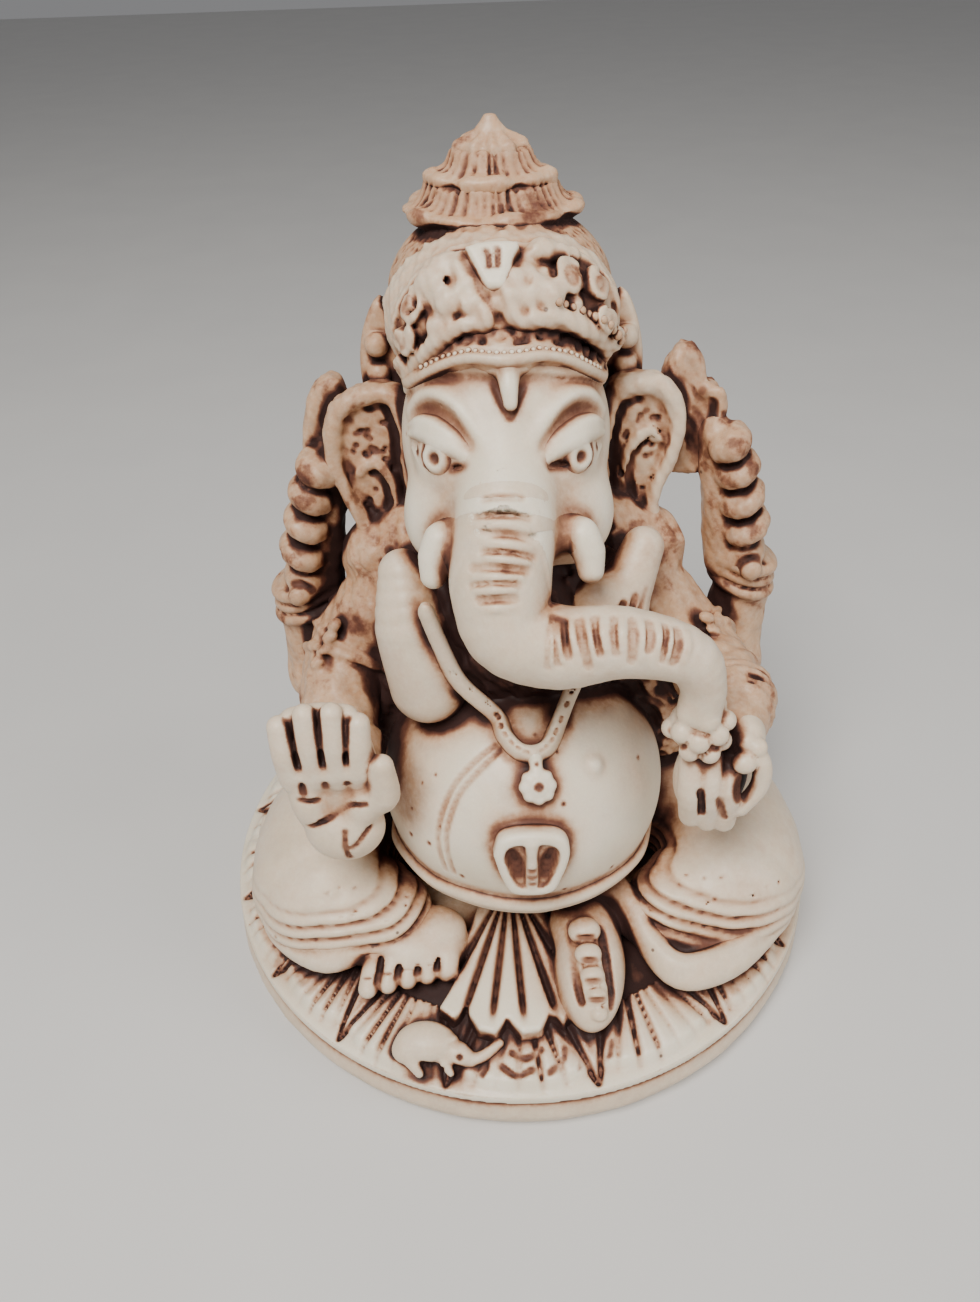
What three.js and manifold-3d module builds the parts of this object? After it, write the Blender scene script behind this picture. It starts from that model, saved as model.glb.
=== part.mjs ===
// A small seated elephant-headed idol on a round lotus plinth, as cast in ivory-coloured resin.
// Every carved element (limb, ornament, petal, crown tier) is one solid, and neighbours keep a hairline gap.
// Millimetres, +Z up, the idol looks towards -Y, and the origin is the middle of the plinth's underside.
import * as THREE from "three";
import { mergeVertices } from "three/addons/utils/BufferGeometryUtils.js";
import Module from "manifold-3d";

const wasm = await Module();
wasm.setup();

// ---------------------------------------------------------------- driving sizes

const GAP = 0.3; // hairline between two carved elements
const ROUND = 14; // facets round a large carved form
const SMALL_ROUND = 8; // facets round a small one

const BASE_RADIUS = 40;
const BASE_HEIGHT = 10.5;
const BASE_FOOT_INSET = 1.6; // the foot is this much smaller than the widest ring
const BASE_BAND_HEIGHT = 6.6; // plain band below the petals
const BASE_SEAT_RADIUS = 27;

const PETAL_COUNT = 14;
const PETAL_LENGTH = 9.4;
const PETAL_THICKNESS = 1.3;
const PETAL_RELIEF = 0.8; // how far a petal stands over the ring that it grows from
const PETAL_SIDE_GAP = 0.5;

const BELLY_WIDTH = 33.6;
const BELLY_DEPTH = 32;
const BELLY_HEIGHT = 31;
const BELLY_FORWARD = 10; // how far the belly's middle sits in front of the plinth's middle

const HIP_WIDTH = 46;
const THIGH_RADIUS = 8.6;
const THIGH_FLATNESS = 1.12; // a folded leg lies wider than it is tall
const SHIN_RADIUS = 6;
const KNEE_SPREAD = 24; // from the middle plane to the middle of a knee
const FOOT_LENGTH = 13;
const TOE_RADIUS = 1.35;
const HEM_THICKNESS = 1.7;

const APRON_LENGTH = 17;
const APRON_TOP_WIDTH = 5.4;
const APRON_HEM_WIDTH = 16.5;
const APRON_THICKNESS = 2.4;

const CHEST_WIDTH = 31;
const CHEST_DEPTH = 23;
const CHEST_HEIGHT = 27;
const SHOULDER_WIDTH = 33;

const HEAD_WIDTH = 21.4;
const HEAD_DEPTH = 23;
const HEAD_HEIGHT = 25;
const TRUNK_ROOT_RADIUS = 4.9;
const TRUNK_TIP_RADIUS = 2;
const TUSK_RADIUS = 1.8;
const TUSK_LENGTH = 6.6;
const EYE_RADIUS = 2.1;
const EAR_WIDTH = 8.6;
const EAR_HEIGHT = 19.5;
const EAR_THICKNESS = 3.4;

const HEADBAND_HEIGHT = 7;
const BULB_RADIUS = 11.4;
const BULB_HEIGHT = 16.5;
const TIER_RADII = [8.9, 6.2, 3.4];
const TIER_HEIGHTS = [2.9, 2.9, 3.4];
const TIER_LIP = 0.9; // thickness of a tier's flared lip
const CROWN_PLATE_THICKNESS = 1.5;
const WING_LENGTH = 12.5;
const WING_WIDTH = 5;

const REAR_ARM_RADIUS = 4;
const REAR_ELBOW_SPREAD = 24.6;
const FIST_WIDTH = 7;
const FIST_HEIGHT = 17;
const EMBLEM_HEIGHT = 14;
const BRACELET_THICKNESS = 1;

const FRONT_ARM_RADIUS = 5;
const PALM_WIDTH = 10.8;
const PALM_HEIGHT = 14;
const PALM_THICKNESS = 5.4;
const FINGER_RADIUS = 1.35;
const FINGER_LENGTH = 10;
const SWEET_RADIUS = 3.4;

const CORD_RADIUS = 0.9; // belt cord and necklace strap
const PENDANT_RADIUS = 2.3;
const BUCKLE_WIDTH = 8.2;
const BUCKLE_THICKNESS = 1.8;

const MOUSE_LENGTH = 8.4;

// ---------------------------------------------------------------- places worked out from the sizes

const RAD = Math.PI / 180;
const FRONT = -1; // the idol looks towards -Y

const belly = {
  x: 0.3,
  y: FRONT * BELLY_FORWARD,
  z: BASE_HEIGHT + BELLY_HEIGHT / 2 + 3.5,
};
const bellyFront = belly.y - BELLY_DEPTH / 2;
const bellyTop = belly.z + BELLY_HEIGHT / 2;

const hips = { x: 0, y: belly.y + 13.5, z: BASE_HEIGHT + THIGH_RADIUS };
const knee = { y: belly.y - 0.5, z: BASE_HEIGHT + THIGH_RADIUS * 0.78 };

const chest = { x: 0, y: belly.y + 7, z: bellyTop + CHEST_HEIGHT * 0.17 };
const shoulder = { y: chest.y + 4, z: chest.z + CHEST_HEIGHT * 0.12 };

const head = { x: -0.7, y: chest.y + 0.5, z: chest.z + CHEST_HEIGHT / 2 + HEAD_HEIGHT / 2 - 4.8 };
const face = head.y - HEAD_DEPTH / 2;
const headTop = head.z + HEAD_HEIGHT / 2;

const bulb = { x: -0.8, y: head.y + 8, z: headTop + BULB_HEIGHT / 2 - 8.6 };
const bulbTop = bulb.z + BULB_HEIGHT / 2;

// ---------------------------------------------------------------- shapes

// A three.js geometry as a closed manifold-3d solid.
function toSolid(geometry, matrix) {
  const loose = geometry.index ? geometry.toNonIndexed() : geometry;
  const bare = new THREE.BufferGeometry().setAttribute("position", loose.getAttribute("position").clone());
  if (matrix) bare.applyMatrix4(matrix);
  const merged = mergeVertices(bare, 1e-4);
  return new wasm.Manifold(
    new wasm.Mesh({
      numProp: 3,
      vertProperties: merged.attributes.position.array,
      triVerts: new Uint32Array(merged.index.array),
    }),
  );
}

function placed(at, turn = [0, 0, 0], scale = [1, 1, 1]) {
  const euler = new THREE.Euler(turn[0] * RAD, turn[1] * RAD, turn[2] * RAD);
  const spin = new THREE.Quaternion().setFromEuler(euler);
  return new THREE.Matrix4().compose(new THREE.Vector3(...at), spin, new THREE.Vector3(...scale));
}

// Each shape below is a function of `grow`, which swells it by that much all round.

function egg(at, radii, turn, round = ROUND) {
  return (grow = 0) => {
    const ball = new THREE.SphereGeometry(1, round, Math.ceil(round * 0.6));
    return toSolid(ball, placed(at, turn, radii.map((r) => r + grow)));
  };
}

// A round-ended limb along a smooth curve, its radius running through `radii`.
// `flat` widens it sideways and thins it the other way.
function limb(points, radii, { sides = SMALL_ROUND, steps = 7, flat = 1, up = [0, 0, 1] } = {}) {
  return (grow = 0) => {
    const curve = new THREE.CatmullRomCurve3(points.map((p) => new THREE.Vector3(...p)));
    const upward = new THREE.Vector3(...up);
    const radiusAt = (t) => {
      const place = Math.min(t, 0.9999) * (radii.length - 1);
      const from = Math.floor(place);
      return THREE.MathUtils.lerp(radii[from], radii[from + 1], place - from);
    };
    const rings = [];
    const addRing = (centre, tangent, radius) => {
      const side = new THREE.Vector3().crossVectors(tangent, upward).normalize();
      const over = new THREE.Vector3().crossVectors(side, tangent).normalize();
      const ring = [];
      for (let k = 0; k < sides; k++) {
        const angle = (2 * Math.PI * k) / sides;
        const point = centre.clone();
        point.addScaledVector(side, Math.cos(angle) * (radius * flat + grow));
        point.addScaledVector(over, Math.sin(angle) * (radius / flat + grow));
        ring.push(point);
      }
      rings.push(ring);
    };
    const roundEnd = (t, way) => {
      const tangent = curve.getTangent(t);
      const reach = (radiusAt(t) / flat + grow) * way;
      const centre = curve.getPoint(t).addScaledVector(tangent, reach * 0.6);
      addRing(centre, tangent, radiusAt(t) * 0.72);
      return curve.getPoint(t).addScaledVector(tangent, reach);
    };
    const start = roundEnd(0, -1);
    for (let i = 0; i <= steps; i++) {
      addRing(curve.getPoint(i / steps), curve.getTangent(i / steps), radiusAt(i / steps));
    }
    const end = roundEnd(1, 1);
    return toSolid(ringsGeometry(rings, start, end));
  };
}

// Triangles between consecutive rings of points, closed by a point at each end.
function ringsGeometry(rings, start, end) {
  const corners = [];
  const face3 = (...points) => points.forEach((p) => corners.push(p.x, p.y, p.z));
  const sides = rings[0].length;
  for (let k = 0; k < sides; k++) {
    const next = (k + 1) % sides;
    face3(start, rings[0][k], rings[0][next]);
    face3(end, rings.at(-1)[next], rings.at(-1)[k]);
    for (let i = 0; i + 1 < rings.length; i++) {
      const [low, high] = [rings[i], rings[i + 1]];
      face3(low[k], high[k], high[next]);
      face3(low[k], high[next], low[next]);
    }
  }
  return new THREE.BufferGeometry().setAttribute("position", new THREE.Float32BufferAttribute(corners, 3));
}

// A flat piece: an outline in its own X and Y, `thickness` deep about its middle.
function plate(outline, thickness, at, turn, curveSegments = 5) {
  return (grow = 0) => {
    const settings = { depth: thickness, curveSegments, bevelEnabled: grow > 0 };
    Object.assign(settings, { bevelThickness: grow, bevelSize: grow, bevelSegments: 1 });
    const slab = new THREE.ExtrudeGeometry(outline, settings);
    slab.translate(0, 0, -thickness / 2);
    return toSolid(slab, placed(at, turn));
  };
}

// A turned piece: a profile of [radius, height] points, which starts and ends on the axis.
// A ring's profile stands clear of the axis and ends where it starts.
function turned(profile, at, turn, round = ROUND) {
  const last = profile.length - 1;
  const isRing = profile[0][0] > 0;
  return (grow = 0) => {
    const points = profile.map(([radius, height], i) => {
      const before = profile[i > 0 ? i - 1 : isRing ? last - 1 : 0];
      const after = profile[i < last ? i + 1 : isRing ? 1 : last];
      const out = new THREE.Vector2(after[1] - before[1], before[0] - after[0]).normalize();
      if (radius === 0) return new THREE.Vector2(0, height + Math.sign(out.y) * grow);
      return new THREE.Vector2(radius + out.x * grow, height + out.y * grow);
    });
    const lathe = new THREE.LatheGeometry(points, round);
    return toSolid(lathe, placed(at, turn).multiply(new THREE.Matrix4().makeRotationX(90 * RAD)));
  };
}

const joined = (...shapes) => (grow = 0) => shapes.map((s) => s(grow)).reduce((all, s) => all.add(s));
const within = (shape, limit) => (grow = 0) => shape(grow).intersect(limit(grow));
const hollowed = (shape, cut) => (grow = 0) => (grow > 0 ? shape(grow) : shape(0).subtract(cut(0)));

function smoothOutline(points) {
  const outline = new THREE.Shape();
  outline.moveTo(...points[0]);
  outline.splineThru([...points.slice(1), points[0]].map((p) => new THREE.Vector2(...p)));
  return outline;
}

function straightOutline(points) {
  return new THREE.Shape(points.map((p) => new THREE.Vector2(...p)));
}

// Point on an egg's surface: `side` degrees towards +X from dead ahead, `rise` degrees up.
function onEgg(centre, width, depth, height, side, rise, lift = 0) {
  return [
    centre.x + (width / 2 + lift) * Math.sin(side * RAD) * Math.cos(rise * RAD),
    centre.y - (depth / 2 + lift) * Math.cos(side * RAD) * Math.cos(rise * RAD),
    centre.z + (height / 2 + lift) * Math.sin(rise * RAD),
  ];
}
const onBelly = (side, rise, lift) => onEgg(belly, BELLY_WIDTH, BELLY_DEPTH, BELLY_HEIGHT, side, rise, lift);
const onHead = (side, rise, lift) => onEgg(head, HEAD_WIDTH, HEAD_DEPTH, HEAD_HEIGHT, side, rise, lift);
const onChest = (side, rise, lift) => onEgg(chest, CHEST_WIDTH, CHEST_DEPTH, CHEST_HEIGHT, side, rise, lift);
const bulbWidth = BULB_RADIUS * 2;
const onBulb = (side, rise, lift) => onEgg(bulb, bulbWidth, bulbWidth, BULB_HEIGHT, side, rise, lift);

// ---------------------------------------------------------------- materials

function resin(name, colour, roughness) {
  const material = new THREE.MeshStandardMaterial({ color: colour, roughness, metalness: 0 });
  material.name = name;
  return material;
}
const ivory = resin("ivory_resin", 0xe6dac6, 0.45);
const tan = resin("stained_resin", 0xc9a78c, 0.55);

// ---------------------------------------------------------------- assembly

const idol = new THREE.Group();
const groups = {};
for (const [name, at] of Object.entries({
  plinth: [0, 0, 0],
  body: [belly.x, belly.y, belly.z],
  head: [head.x, head.y, head.z],
  crown: [bulb.x, bulb.y, bulb.z],
})) {
  groups[name] = new THREE.Group();
  groups[name].position.set(...at);
  idol.add(groups[name]);
}

const rooms = []; // what each finished element takes up, with the hairline round it

function boxesMeet(a, b) {
  return [0, 1, 2].every((k) => a.min[k] <= b.max[k] && b.min[k] <= a.max[k]);
}

// Adds one carved element. It gives way, by the hairline, to every element carved before it.
function carve(group, name, material, shape) {
  let solid = shape(0);
  for (const room of rooms) {
    if (boxesMeet(solid.boundingBox(), room.boundingBox())) solid = solid.subtract(room);
  }
  const bodies = solid.decompose().sort((a, b) => b.volume() - a.volume());
  solid = bodies[0];
  rooms.push(shape(GAP));

  const { min, max } = solid.boundingBox();
  const middle = new THREE.Vector3(...min).add(new THREE.Vector3(...max)).multiplyScalar(0.5);
  const { vertProperties, triVerts } = solid.getMesh();
  const geometry = new THREE.BufferGeometry();
  geometry.setAttribute("position", new THREE.BufferAttribute(new Float32Array(vertProperties), 3));
  geometry.setIndex(new THREE.BufferAttribute(triVerts, 1));
  geometry.translate(-middle.x, -middle.y, -middle.z);
  geometry.computeVertexNormals();
  const mesh = new THREE.Mesh(geometry, material);
  mesh.name = name;
  mesh.position.copy(middle).sub(groups[group].position);
  groups[group].add(mesh);
}

// ---------------------------------------------------------------- plinth and body masses

carve("plinth", "plinth", ivory, turned([
  [0, 0],
  [BASE_RADIUS - BASE_FOOT_INSET, 0],
  [BASE_RADIUS, BASE_BAND_HEIGHT * 0.45],
  [BASE_RADIUS - 1, BASE_BAND_HEIGHT * 0.9],
  [BASE_RADIUS - 3, BASE_BAND_HEIGHT + 0.8],
  [BASE_SEAT_RADIUS, BASE_HEIGHT],
  [0, BASE_HEIGHT],
], [0, 0, 0], [0, 0, 0], 40));

carve("body", "belly", ivory,
  egg([belly.x, belly.y, belly.z], [BELLY_WIDTH / 2, BELLY_DEPTH / 2, BELLY_HEIGHT / 2], [0, 0, 0], 20));
carve("body", "hips", tan,
  egg([hips.x, hips.y, hips.z], [HIP_WIDTH / 2, 15.5, THIGH_RADIUS * 1.25]));
carve("body", "chest", tan,
  egg([chest.x, chest.y, chest.z], [CHEST_WIDTH / 2, CHEST_DEPTH / 2, CHEST_HEIGHT / 2]));

carve("body", "back_shawl", tan,
  egg([chest.x, chest.y + 9, chest.z - 7], [CHEST_WIDTH * 0.47, 7, CHEST_HEIGHT * 0.74], [-4, 0, 0]));

// ---------------------------------------------------------------- legs, feet and dhoti

// side is -1 for the idol's right, on the viewer's left, and 1 for its left.
const footTop = BASE_HEIGHT + 2.2;
function leg(side) {
  const spread = KNEE_SPREAD + (side > 0 ? 1.5 : 0);
  return limb(
    [
      [side * (spread - 13), hips.y - 2, hips.z],
      [side * (spread - 1), knee.y + 6, knee.z],
      [side * spread, knee.y - 5, knee.z - 1.5],
      [side * (spread - 9), knee.y - 11, knee.z - 3],
    ],
    [THIGH_RADIUS, THIGH_RADIUS, THIGH_RADIUS * 0.92, SHIN_RADIUS],
    { sides: 12, steps: 6, flat: THIGH_FLATNESS },
  );
}
carve("body", "right_leg", ivory, leg(-1));
carve("body", "left_leg", ivory, leg(1));

const rightFoot = { x: -14.2, y: knee.y - 14.3, z: footTop };
const rightFootTurn = 8;
const rightFootParts = [
  egg([rightFoot.x, rightFoot.y, rightFoot.z], [FOOT_LENGTH / 2, 4, 2.9], [12, 0, rightFootTurn], 12),
];
for (let i = 0; i < 5; i++) {
  const along = (i / 4 - 0.5) * FOOT_LENGTH * 0.72;
  const size = TOE_RADIUS * (i === 4 ? 1.35 : 0.92);
  const forward = along * Math.sin(rightFootTurn * RAD) - 3.2;
  const at = [rightFoot.x + along, rightFoot.y + forward, rightFoot.z - 0.7];
  rightFootParts.push(egg(at, [size, size * 1.5, size * 1.15], [35, 0, rightFootTurn], 8));
}
carve("body", "right_foot", ivory, joined(...rightFootParts));

const leftFoot = { x: 8, y: knee.y - 15.2, z: footTop + 0.6 };
const leftFootParts = [
  egg([leftFoot.x, leftFoot.y, leftFoot.z], [3.9, FOOT_LENGTH * 0.6, 4], [8, 0, 8], 12),
];
for (let i = 0; i < 5; i++) {
  const size = TOE_RADIUS * (1.6 - 0.18 * i);
  const at = [leftFoot.x - 1.2 + i * 0.5, leftFoot.y + 4.2 - i * 2.45, leftFoot.z + 3.2 - i * 0.75];
  leftFootParts.push(egg(at, [size, size, size], [0, 0, 0], 8));
}
carve("body", "left_foot", ivory, joined(...leftFootParts));

// The raised hems of the dhoti run round each folded leg, low on its outer side.
function hem(side) {
  const spread = KNEE_SPREAD + (side > 0 ? 1.5 : 0);
  return limb(
    [
      [side * (spread + 8.2), knee.y + 7, knee.z - 4.5],
      [side * (spread + 6.6), knee.y - 6, knee.z - 5],
      [side * (spread - 1), knee.y - 14.2, knee.z - 5],
      [side * (spread - 10), knee.y - 16.5, knee.z - 3.6],
      [side * (spread - 14.5), knee.y - 12, knee.z - 0.5],
    ],
    [HEM_THICKNESS * 0.7, HEM_THICKNESS, HEM_THICKNESS, HEM_THICKNESS, HEM_THICKNESS * 0.7],
    { sides: 6, steps: 8 },
  );
}
carve("body", "right_dhoti_hem", ivory, hem(-1));
carve("body", "left_dhoti_hem", ivory, hem(1));

// The pleated end of the dhoti fans out over the front of the plinth.
const apronPleats = 5;
const apronOutline = [[APRON_TOP_WIDTH / 2, APRON_LENGTH / 2], [-APRON_TOP_WIDTH / 2, APRON_LENGTH / 2]];
for (let i = 0; i <= apronPleats * 2; i++) {
  const across = i / (apronPleats * 2) - 0.5;
  const bow = 2.2 * Math.cos(across * Math.PI);
  const scallop = i % 2 ? 0.9 : 0;
  apronOutline.push([across * APRON_HEM_WIDTH, -APRON_LENGTH / 2 + 2.2 - bow - scallop]);
}
const apron = { x: -2.6, y: knee.y - 15, z: BASE_HEIGHT + 0.9 };
carve("body", "apron", ivory,
  plate(straightOutline(apronOutline), APRON_THICKNESS, [apron.x, apron.y, apron.z], [11, 0, 0]));

// ---------------------------------------------------------------- head, trunk and ears

carve("head", "head", ivory,
  egg([head.x, head.y, head.z], [HEAD_WIDTH / 2, HEAD_DEPTH / 2, HEAD_HEIGHT / 2], [0, 0, 0], 18));

const handLeft = { x: 20.2, y: bellyFront + 4.2, z: belly.z + 11.6 };
const sweet = { x: handLeft.x - 2.4, y: handLeft.y - 0.8, z: handLeft.z + 6.6 };
carve("head", "trunk", ivory, limb(
  [
    [head.x - 0.4, face + 3.5, head.z + 1.4],
    [head.x - 0.5, face - 1.4, head.z - 2.6],
    [head.x - 1.2, face - 4.6, head.z - 7.4],
    [head.x - 0.4, face - 6.6, head.z - 11.6],
    [head.x + 4.2, face - 7.6, head.z - 13.2],
    [head.x + 10, face - 8.3, head.z - 12.3],
    [sweet.x - 1.2, sweet.y - 0.2, sweet.z + 9],
    [sweet.x - 0.2, sweet.y - 0.2, sweet.z + SWEET_RADIUS + 1.9],
  ],
  [TRUNK_ROOT_RADIUS * 0.9, TRUNK_ROOT_RADIUS, TRUNK_ROOT_RADIUS * 0.95, TRUNK_ROOT_RADIUS * 0.92,
    TRUNK_ROOT_RADIUS * 0.84, TRUNK_ROOT_RADIUS * 0.7, TRUNK_TIP_RADIUS * 1.3, TRUNK_TIP_RADIUS],
  { sides: 10, steps: 14, up: [0, -0.2, 1] },
));

for (const [side, name] of [[-1, "right"], [1, "left"]]) {
  const tuskAt = [head.x + side * 7.4, face - 2.2, head.z - 6.2];
  carve("head", `${name}_tusk`, ivory,
    egg(tuskAt, [TUSK_RADIUS, TUSK_RADIUS, TUSK_LENGTH / 2], [12, side * -6, 0], SMALL_ROUND));
  const eyeAt = onHead(side * 38, 12, -0.7);
  carve("head", `${name}_eye`, ivory,
    egg(eyeAt, [EYE_RADIUS, EYE_RADIUS * 0.8, EYE_RADIUS * 0.85], [0, 0, 0], SMALL_ROUND));
  const lid = [
    onHead(side * 62, 15, 0.2),
    onHead(side * 47, 24, 0.5),
    onHead(side * 32, 21, 0.5),
    onHead(side * 20, 9, 0.3),
  ];
  carve("head", `${name}_eyelid`, ivory, limb(lid, [0.8, 1.3, 1.2, 0.6], { sides: 8, steps: 6 }));
}

function ear(side) {
  const w = EAR_WIDTH;
  const h = EAR_HEIGHT;
  const outline = smoothOutline([
    [0, h * 0.4], [w * 0.5, h * 0.46], [w * 0.95, h * 0.38], [w * 1.02, h * 0.1],
    [w * 0.78, -h * 0.22], [w * 0.42, -h * 0.52], [w * 0.1, -h * 0.36], [0, 0],
  ].map(([x, y]) => [side * x, y]));
  const at = [head.x + side * (HEAD_WIDTH / 2 - 0.8), head.y + 3, head.z - 5.4];
  const shell = plate(outline, EAR_THICKNESS, at, [84, side * 8, 0], 3);
  const bowlAt = [at[0] + side * w * 0.5, at[1] - EAR_THICKNESS * 0.8, at[2] + h * 0.04];
  return hollowed(shell, egg(bowlAt, [w * 0.34, EAR_THICKNESS * 0.75, h * 0.3], [0, 0, 0], SMALL_ROUND));
}
carve("head", "right_ear", tan, ear(-1));
carve("head", "left_ear", tan, ear(1));

const headbandRadii = [HEAD_WIDTH * 0.4, HEAD_DEPTH * 0.42, HEADBAND_HEIGHT / 2];
carve("head", "headband", tan, egg([head.x + 0.6, head.y - 1.2, headTop - 2.4], headbandRadii));
const drop = [onHead(2, 44, 0.6), onHead(2, 33, 0.7), onHead(2, 22, 0.8)];
carve("head", "forehead_drop", ivory, limb(drop, [0.9, 1, 1.4], { sides: 8, steps: 4 }));

// ---------------------------------------------------------------- crown

carve("crown", "crown_bulb", tan,
  egg([bulb.x, bulb.y, bulb.z], [BULB_RADIUS, BULB_RADIUS, BULB_HEIGHT / 2], [0, 0, 0], 16));

let tierFloor = bulbTop - 1.6;
TIER_RADII.forEach((radius, i) => {
  const rise = TIER_HEIGHTS[i];
  const isTop = i === TIER_RADII.length - 1;
  const neck = isTop ? 1 : TIER_RADII[i + 1] * 0.86;
  carve("crown", `crown_tier_${i + 1}`, tan, turned([
    [0, 0],
    [radius * 0.82, 0],
    [radius, TIER_LIP * 0.9],
    [radius * 0.97, TIER_LIP * 1.6],
    [(radius + neck) / 2 - 0.2, rise * 0.62],
    [neck, rise - GAP],
    [0, rise - GAP],
  ], [bulb.x - 0.6, bulb.y + 1.5, tierFloor], [0, 0, 0], 16));
  tierFloor += rise;
});
// The carved diadem wraps the front of the bulb.
const diademHalf = BULB_RADIUS * 0.96;
const diademWindow = plate(smoothOutline([
  [-diademHalf, -7.2], [-diademHalf, -1], [-diademHalf * 0.6, 4], [0, 6], [diademHalf * 0.6, 4],
  [diademHalf, -1], [diademHalf, -7.2], [diademHalf * 0.5, -4], [0, -2], [-diademHalf * 0.5, -4],
]), BULB_RADIUS * 1.4, [bulb.x, bulb.y - BULB_RADIUS * 0.95, bulb.z], [90, 0, 0], 2);
const diademSkin = BULB_RADIUS + CROWN_PLATE_THICKNESS * 0.4;
carve("crown", "diadem", tan, within(
  egg([bulb.x, bulb.y - 2.6, bulb.z - 1.4], [diademSkin, diademSkin, BULB_HEIGHT * 0.52], [0, 0, 0], 16),
  diademWindow,
));
carve("crown", "diadem_crest", ivory, plate(
  straightOutline([[-2.2, 1.8], [2.2, 1.8], [1, -1.8], [-1, -1.8]]), 1.6,
  onBulb(-1, 28, CROWN_PLATE_THICKNESS + 1.6), [90 - 28, 0, 0]));

for (const [side, name] of [[-1, "right"], [1, "left"]]) {
  const wing = smoothOutline([
    [0, WING_LENGTH * 0.36], [WING_WIDTH * 0.55, WING_LENGTH * 0.5], [WING_WIDTH * 0.9, WING_LENGTH * 0.36],
    [WING_WIDTH * 0.55, 0], [0, -WING_LENGTH * 0.5],
  ].map(([x, y]) => [side * x, y]));
  carve("crown", `${name}_crown_wing`, tan,
    plate(wing, 2.2, [bulb.x + side * (BULB_RADIUS - 1.4), bulb.y + 0.5, bulb.z - 7], [86, 0, side * 6], 3));
}

// ---------------------------------------------------------------- rear arms and emblems

for (const [side, name] of [[-1, "right"], [1, "left"]]) {
  const spread = REAR_ELBOW_SPREAD + (side > 0 ? 2.4 : 0);
  const lift = side > 0 ? 1.4 : 0; // the idol's left rear hand is raised a little higher
  const elbow = [side * spread, shoulder.y + 1.6, shoulder.z - 18];
  const wrist = [side * (spread + 0.4), shoulder.y + 1.6, shoulder.z - 7.4 + lift];
  carve("body", `rear_${name}_upper_arm`, tan, limb(
    [[side * 10, shoulder.y + 4, shoulder.z], [side * (spread - 8), shoulder.y + 3, shoulder.z - 10.5],
      [side * (spread - 3.4), shoulder.y + 2, shoulder.z - 17]],
    [REAR_ARM_RADIUS, REAR_ARM_RADIUS, REAR_ARM_RADIUS * 0.95]));
  carve("body", `rear_${name}_forearm`, tan, limb(
    [elbow, [side * (spread + 0.9), elbow[1], shoulder.z - 13], wrist],
    [REAR_ARM_RADIUS, REAR_ARM_RADIUS * 0.98, REAR_ARM_RADIUS * 0.84]));
  const braceletRadii = [REAR_ARM_RADIUS, REAR_ARM_RADIUS, BRACELET_THICKNESS * 1.3];
  carve("body", `rear_${name}_bracelet`, tan,
    egg([wrist[0], wrist[1], wrist[2] + 3.4], braceletRadii, [0, side * 10, 0], 12));

  const fistLow = [side * (spread - 0.4), wrist[1] - 1, wrist[2] + 6.4];
  const fist = [];
  for (let i = 0; i < 4; i++) {
    const at = [fistLow[0] - side * i * 1.1, fistLow[1], fistLow[2] + i * FIST_HEIGHT * 0.22];
    const curled = [FIST_WIDTH / 2, FIST_WIDTH / 2, FIST_HEIGHT * 0.145];
    fist.push(egg(at, curled, [0, side * 14, 0], SMALL_ROUND));
  }
  carve("body", `rear_${name}_fist`, tan, joined(...fist));

  const emblemAt = [side * (REAR_ELBOW_SPREAD - 4.4), wrist[1] + 2, fistLow[2] + FIST_HEIGHT * 0.88 + lift];
  const emblem = smoothOutline([
    [-1.6, -EMBLEM_HEIGHT * 0.46], [-2.6, 0], [-1.4, EMBLEM_HEIGHT * 0.4], [0.6, EMBLEM_HEIGHT * 0.5],
    [2.2, EMBLEM_HEIGHT * 0.26], [2.6, -EMBLEM_HEIGHT * 0.1], [1.8, -EMBLEM_HEIGHT * 0.46],
  ].map(([x, y]) => [x * side * -1, y]));
  carve("body", side < 0 ? "axe_blade" : "noose_loop", tan, plate(emblem, 3.6, emblemAt, [90, 0, 0], 2));
}

// ---------------------------------------------------------------- front arms and hands

const palm = { x: -20, y: bellyFront + 4.4, z: belly.z + 8.6 };
carve("body", "front_right_palm", ivory,
  egg([palm.x, palm.y, palm.z], [PALM_WIDTH / 2, PALM_THICKNESS / 2, PALM_HEIGHT / 2], [-8, 0, 0], 14));
const fingers = [];
for (let i = 0; i < 4; i++) {
  const across = (i - 1.5) * FINGER_RADIUS * 1.66;
  const rise = PALM_HEIGHT * 0.3 + 0.6 * Math.cos(i - 1.3);
  const root = [palm.x - 0.4 + across, palm.y - 0.3, palm.z + rise];
  const knuckle = [root[0] + across * 0.03, root[1] - 0.4, root[2] + FINGER_LENGTH * 0.5];
  const tip = [root[0] + across * 0.04, root[1] + 0.2, root[2] + FINGER_LENGTH * 0.78];
  const taper = [FINGER_RADIUS, FINGER_RADIUS, FINGER_RADIUS * 0.9];
  fingers.push(limb([root, knuckle, tip], taper, { sides: 6, steps: 3 }));
}
carve("body", "front_right_fingers", ivory, joined(...fingers));
const thumbAt = [palm.x + PALM_WIDTH * 0.44, palm.y - 1.2, palm.z + 2.4];
carve("body", "front_right_thumb", ivory,
  egg(thumbAt, [FINGER_RADIUS * 1.1, FINGER_RADIUS * 1.2, PALM_HEIGHT * 0.28], [0, -8, 0], SMALL_ROUND));
const frontArmRadii = [FRONT_ARM_RADIUS, FRONT_ARM_RADIUS * 1.15, FRONT_ARM_RADIUS, FRONT_ARM_RADIUS * 0.87];
const frontArmFacets = { sides: 10, steps: 6 };
const rightArmRoute = [
  [-SHOULDER_WIDTH / 2 + 3, shoulder.y - 2, shoulder.z - 1],
  [-SHOULDER_WIDTH / 2 - 3.4, shoulder.y - 5, shoulder.z - 9],
  [palm.x - 0.8, palm.y + 9, palm.z + 0.5],
  [palm.x, palm.y + 4, palm.z - 0.5],
];
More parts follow.
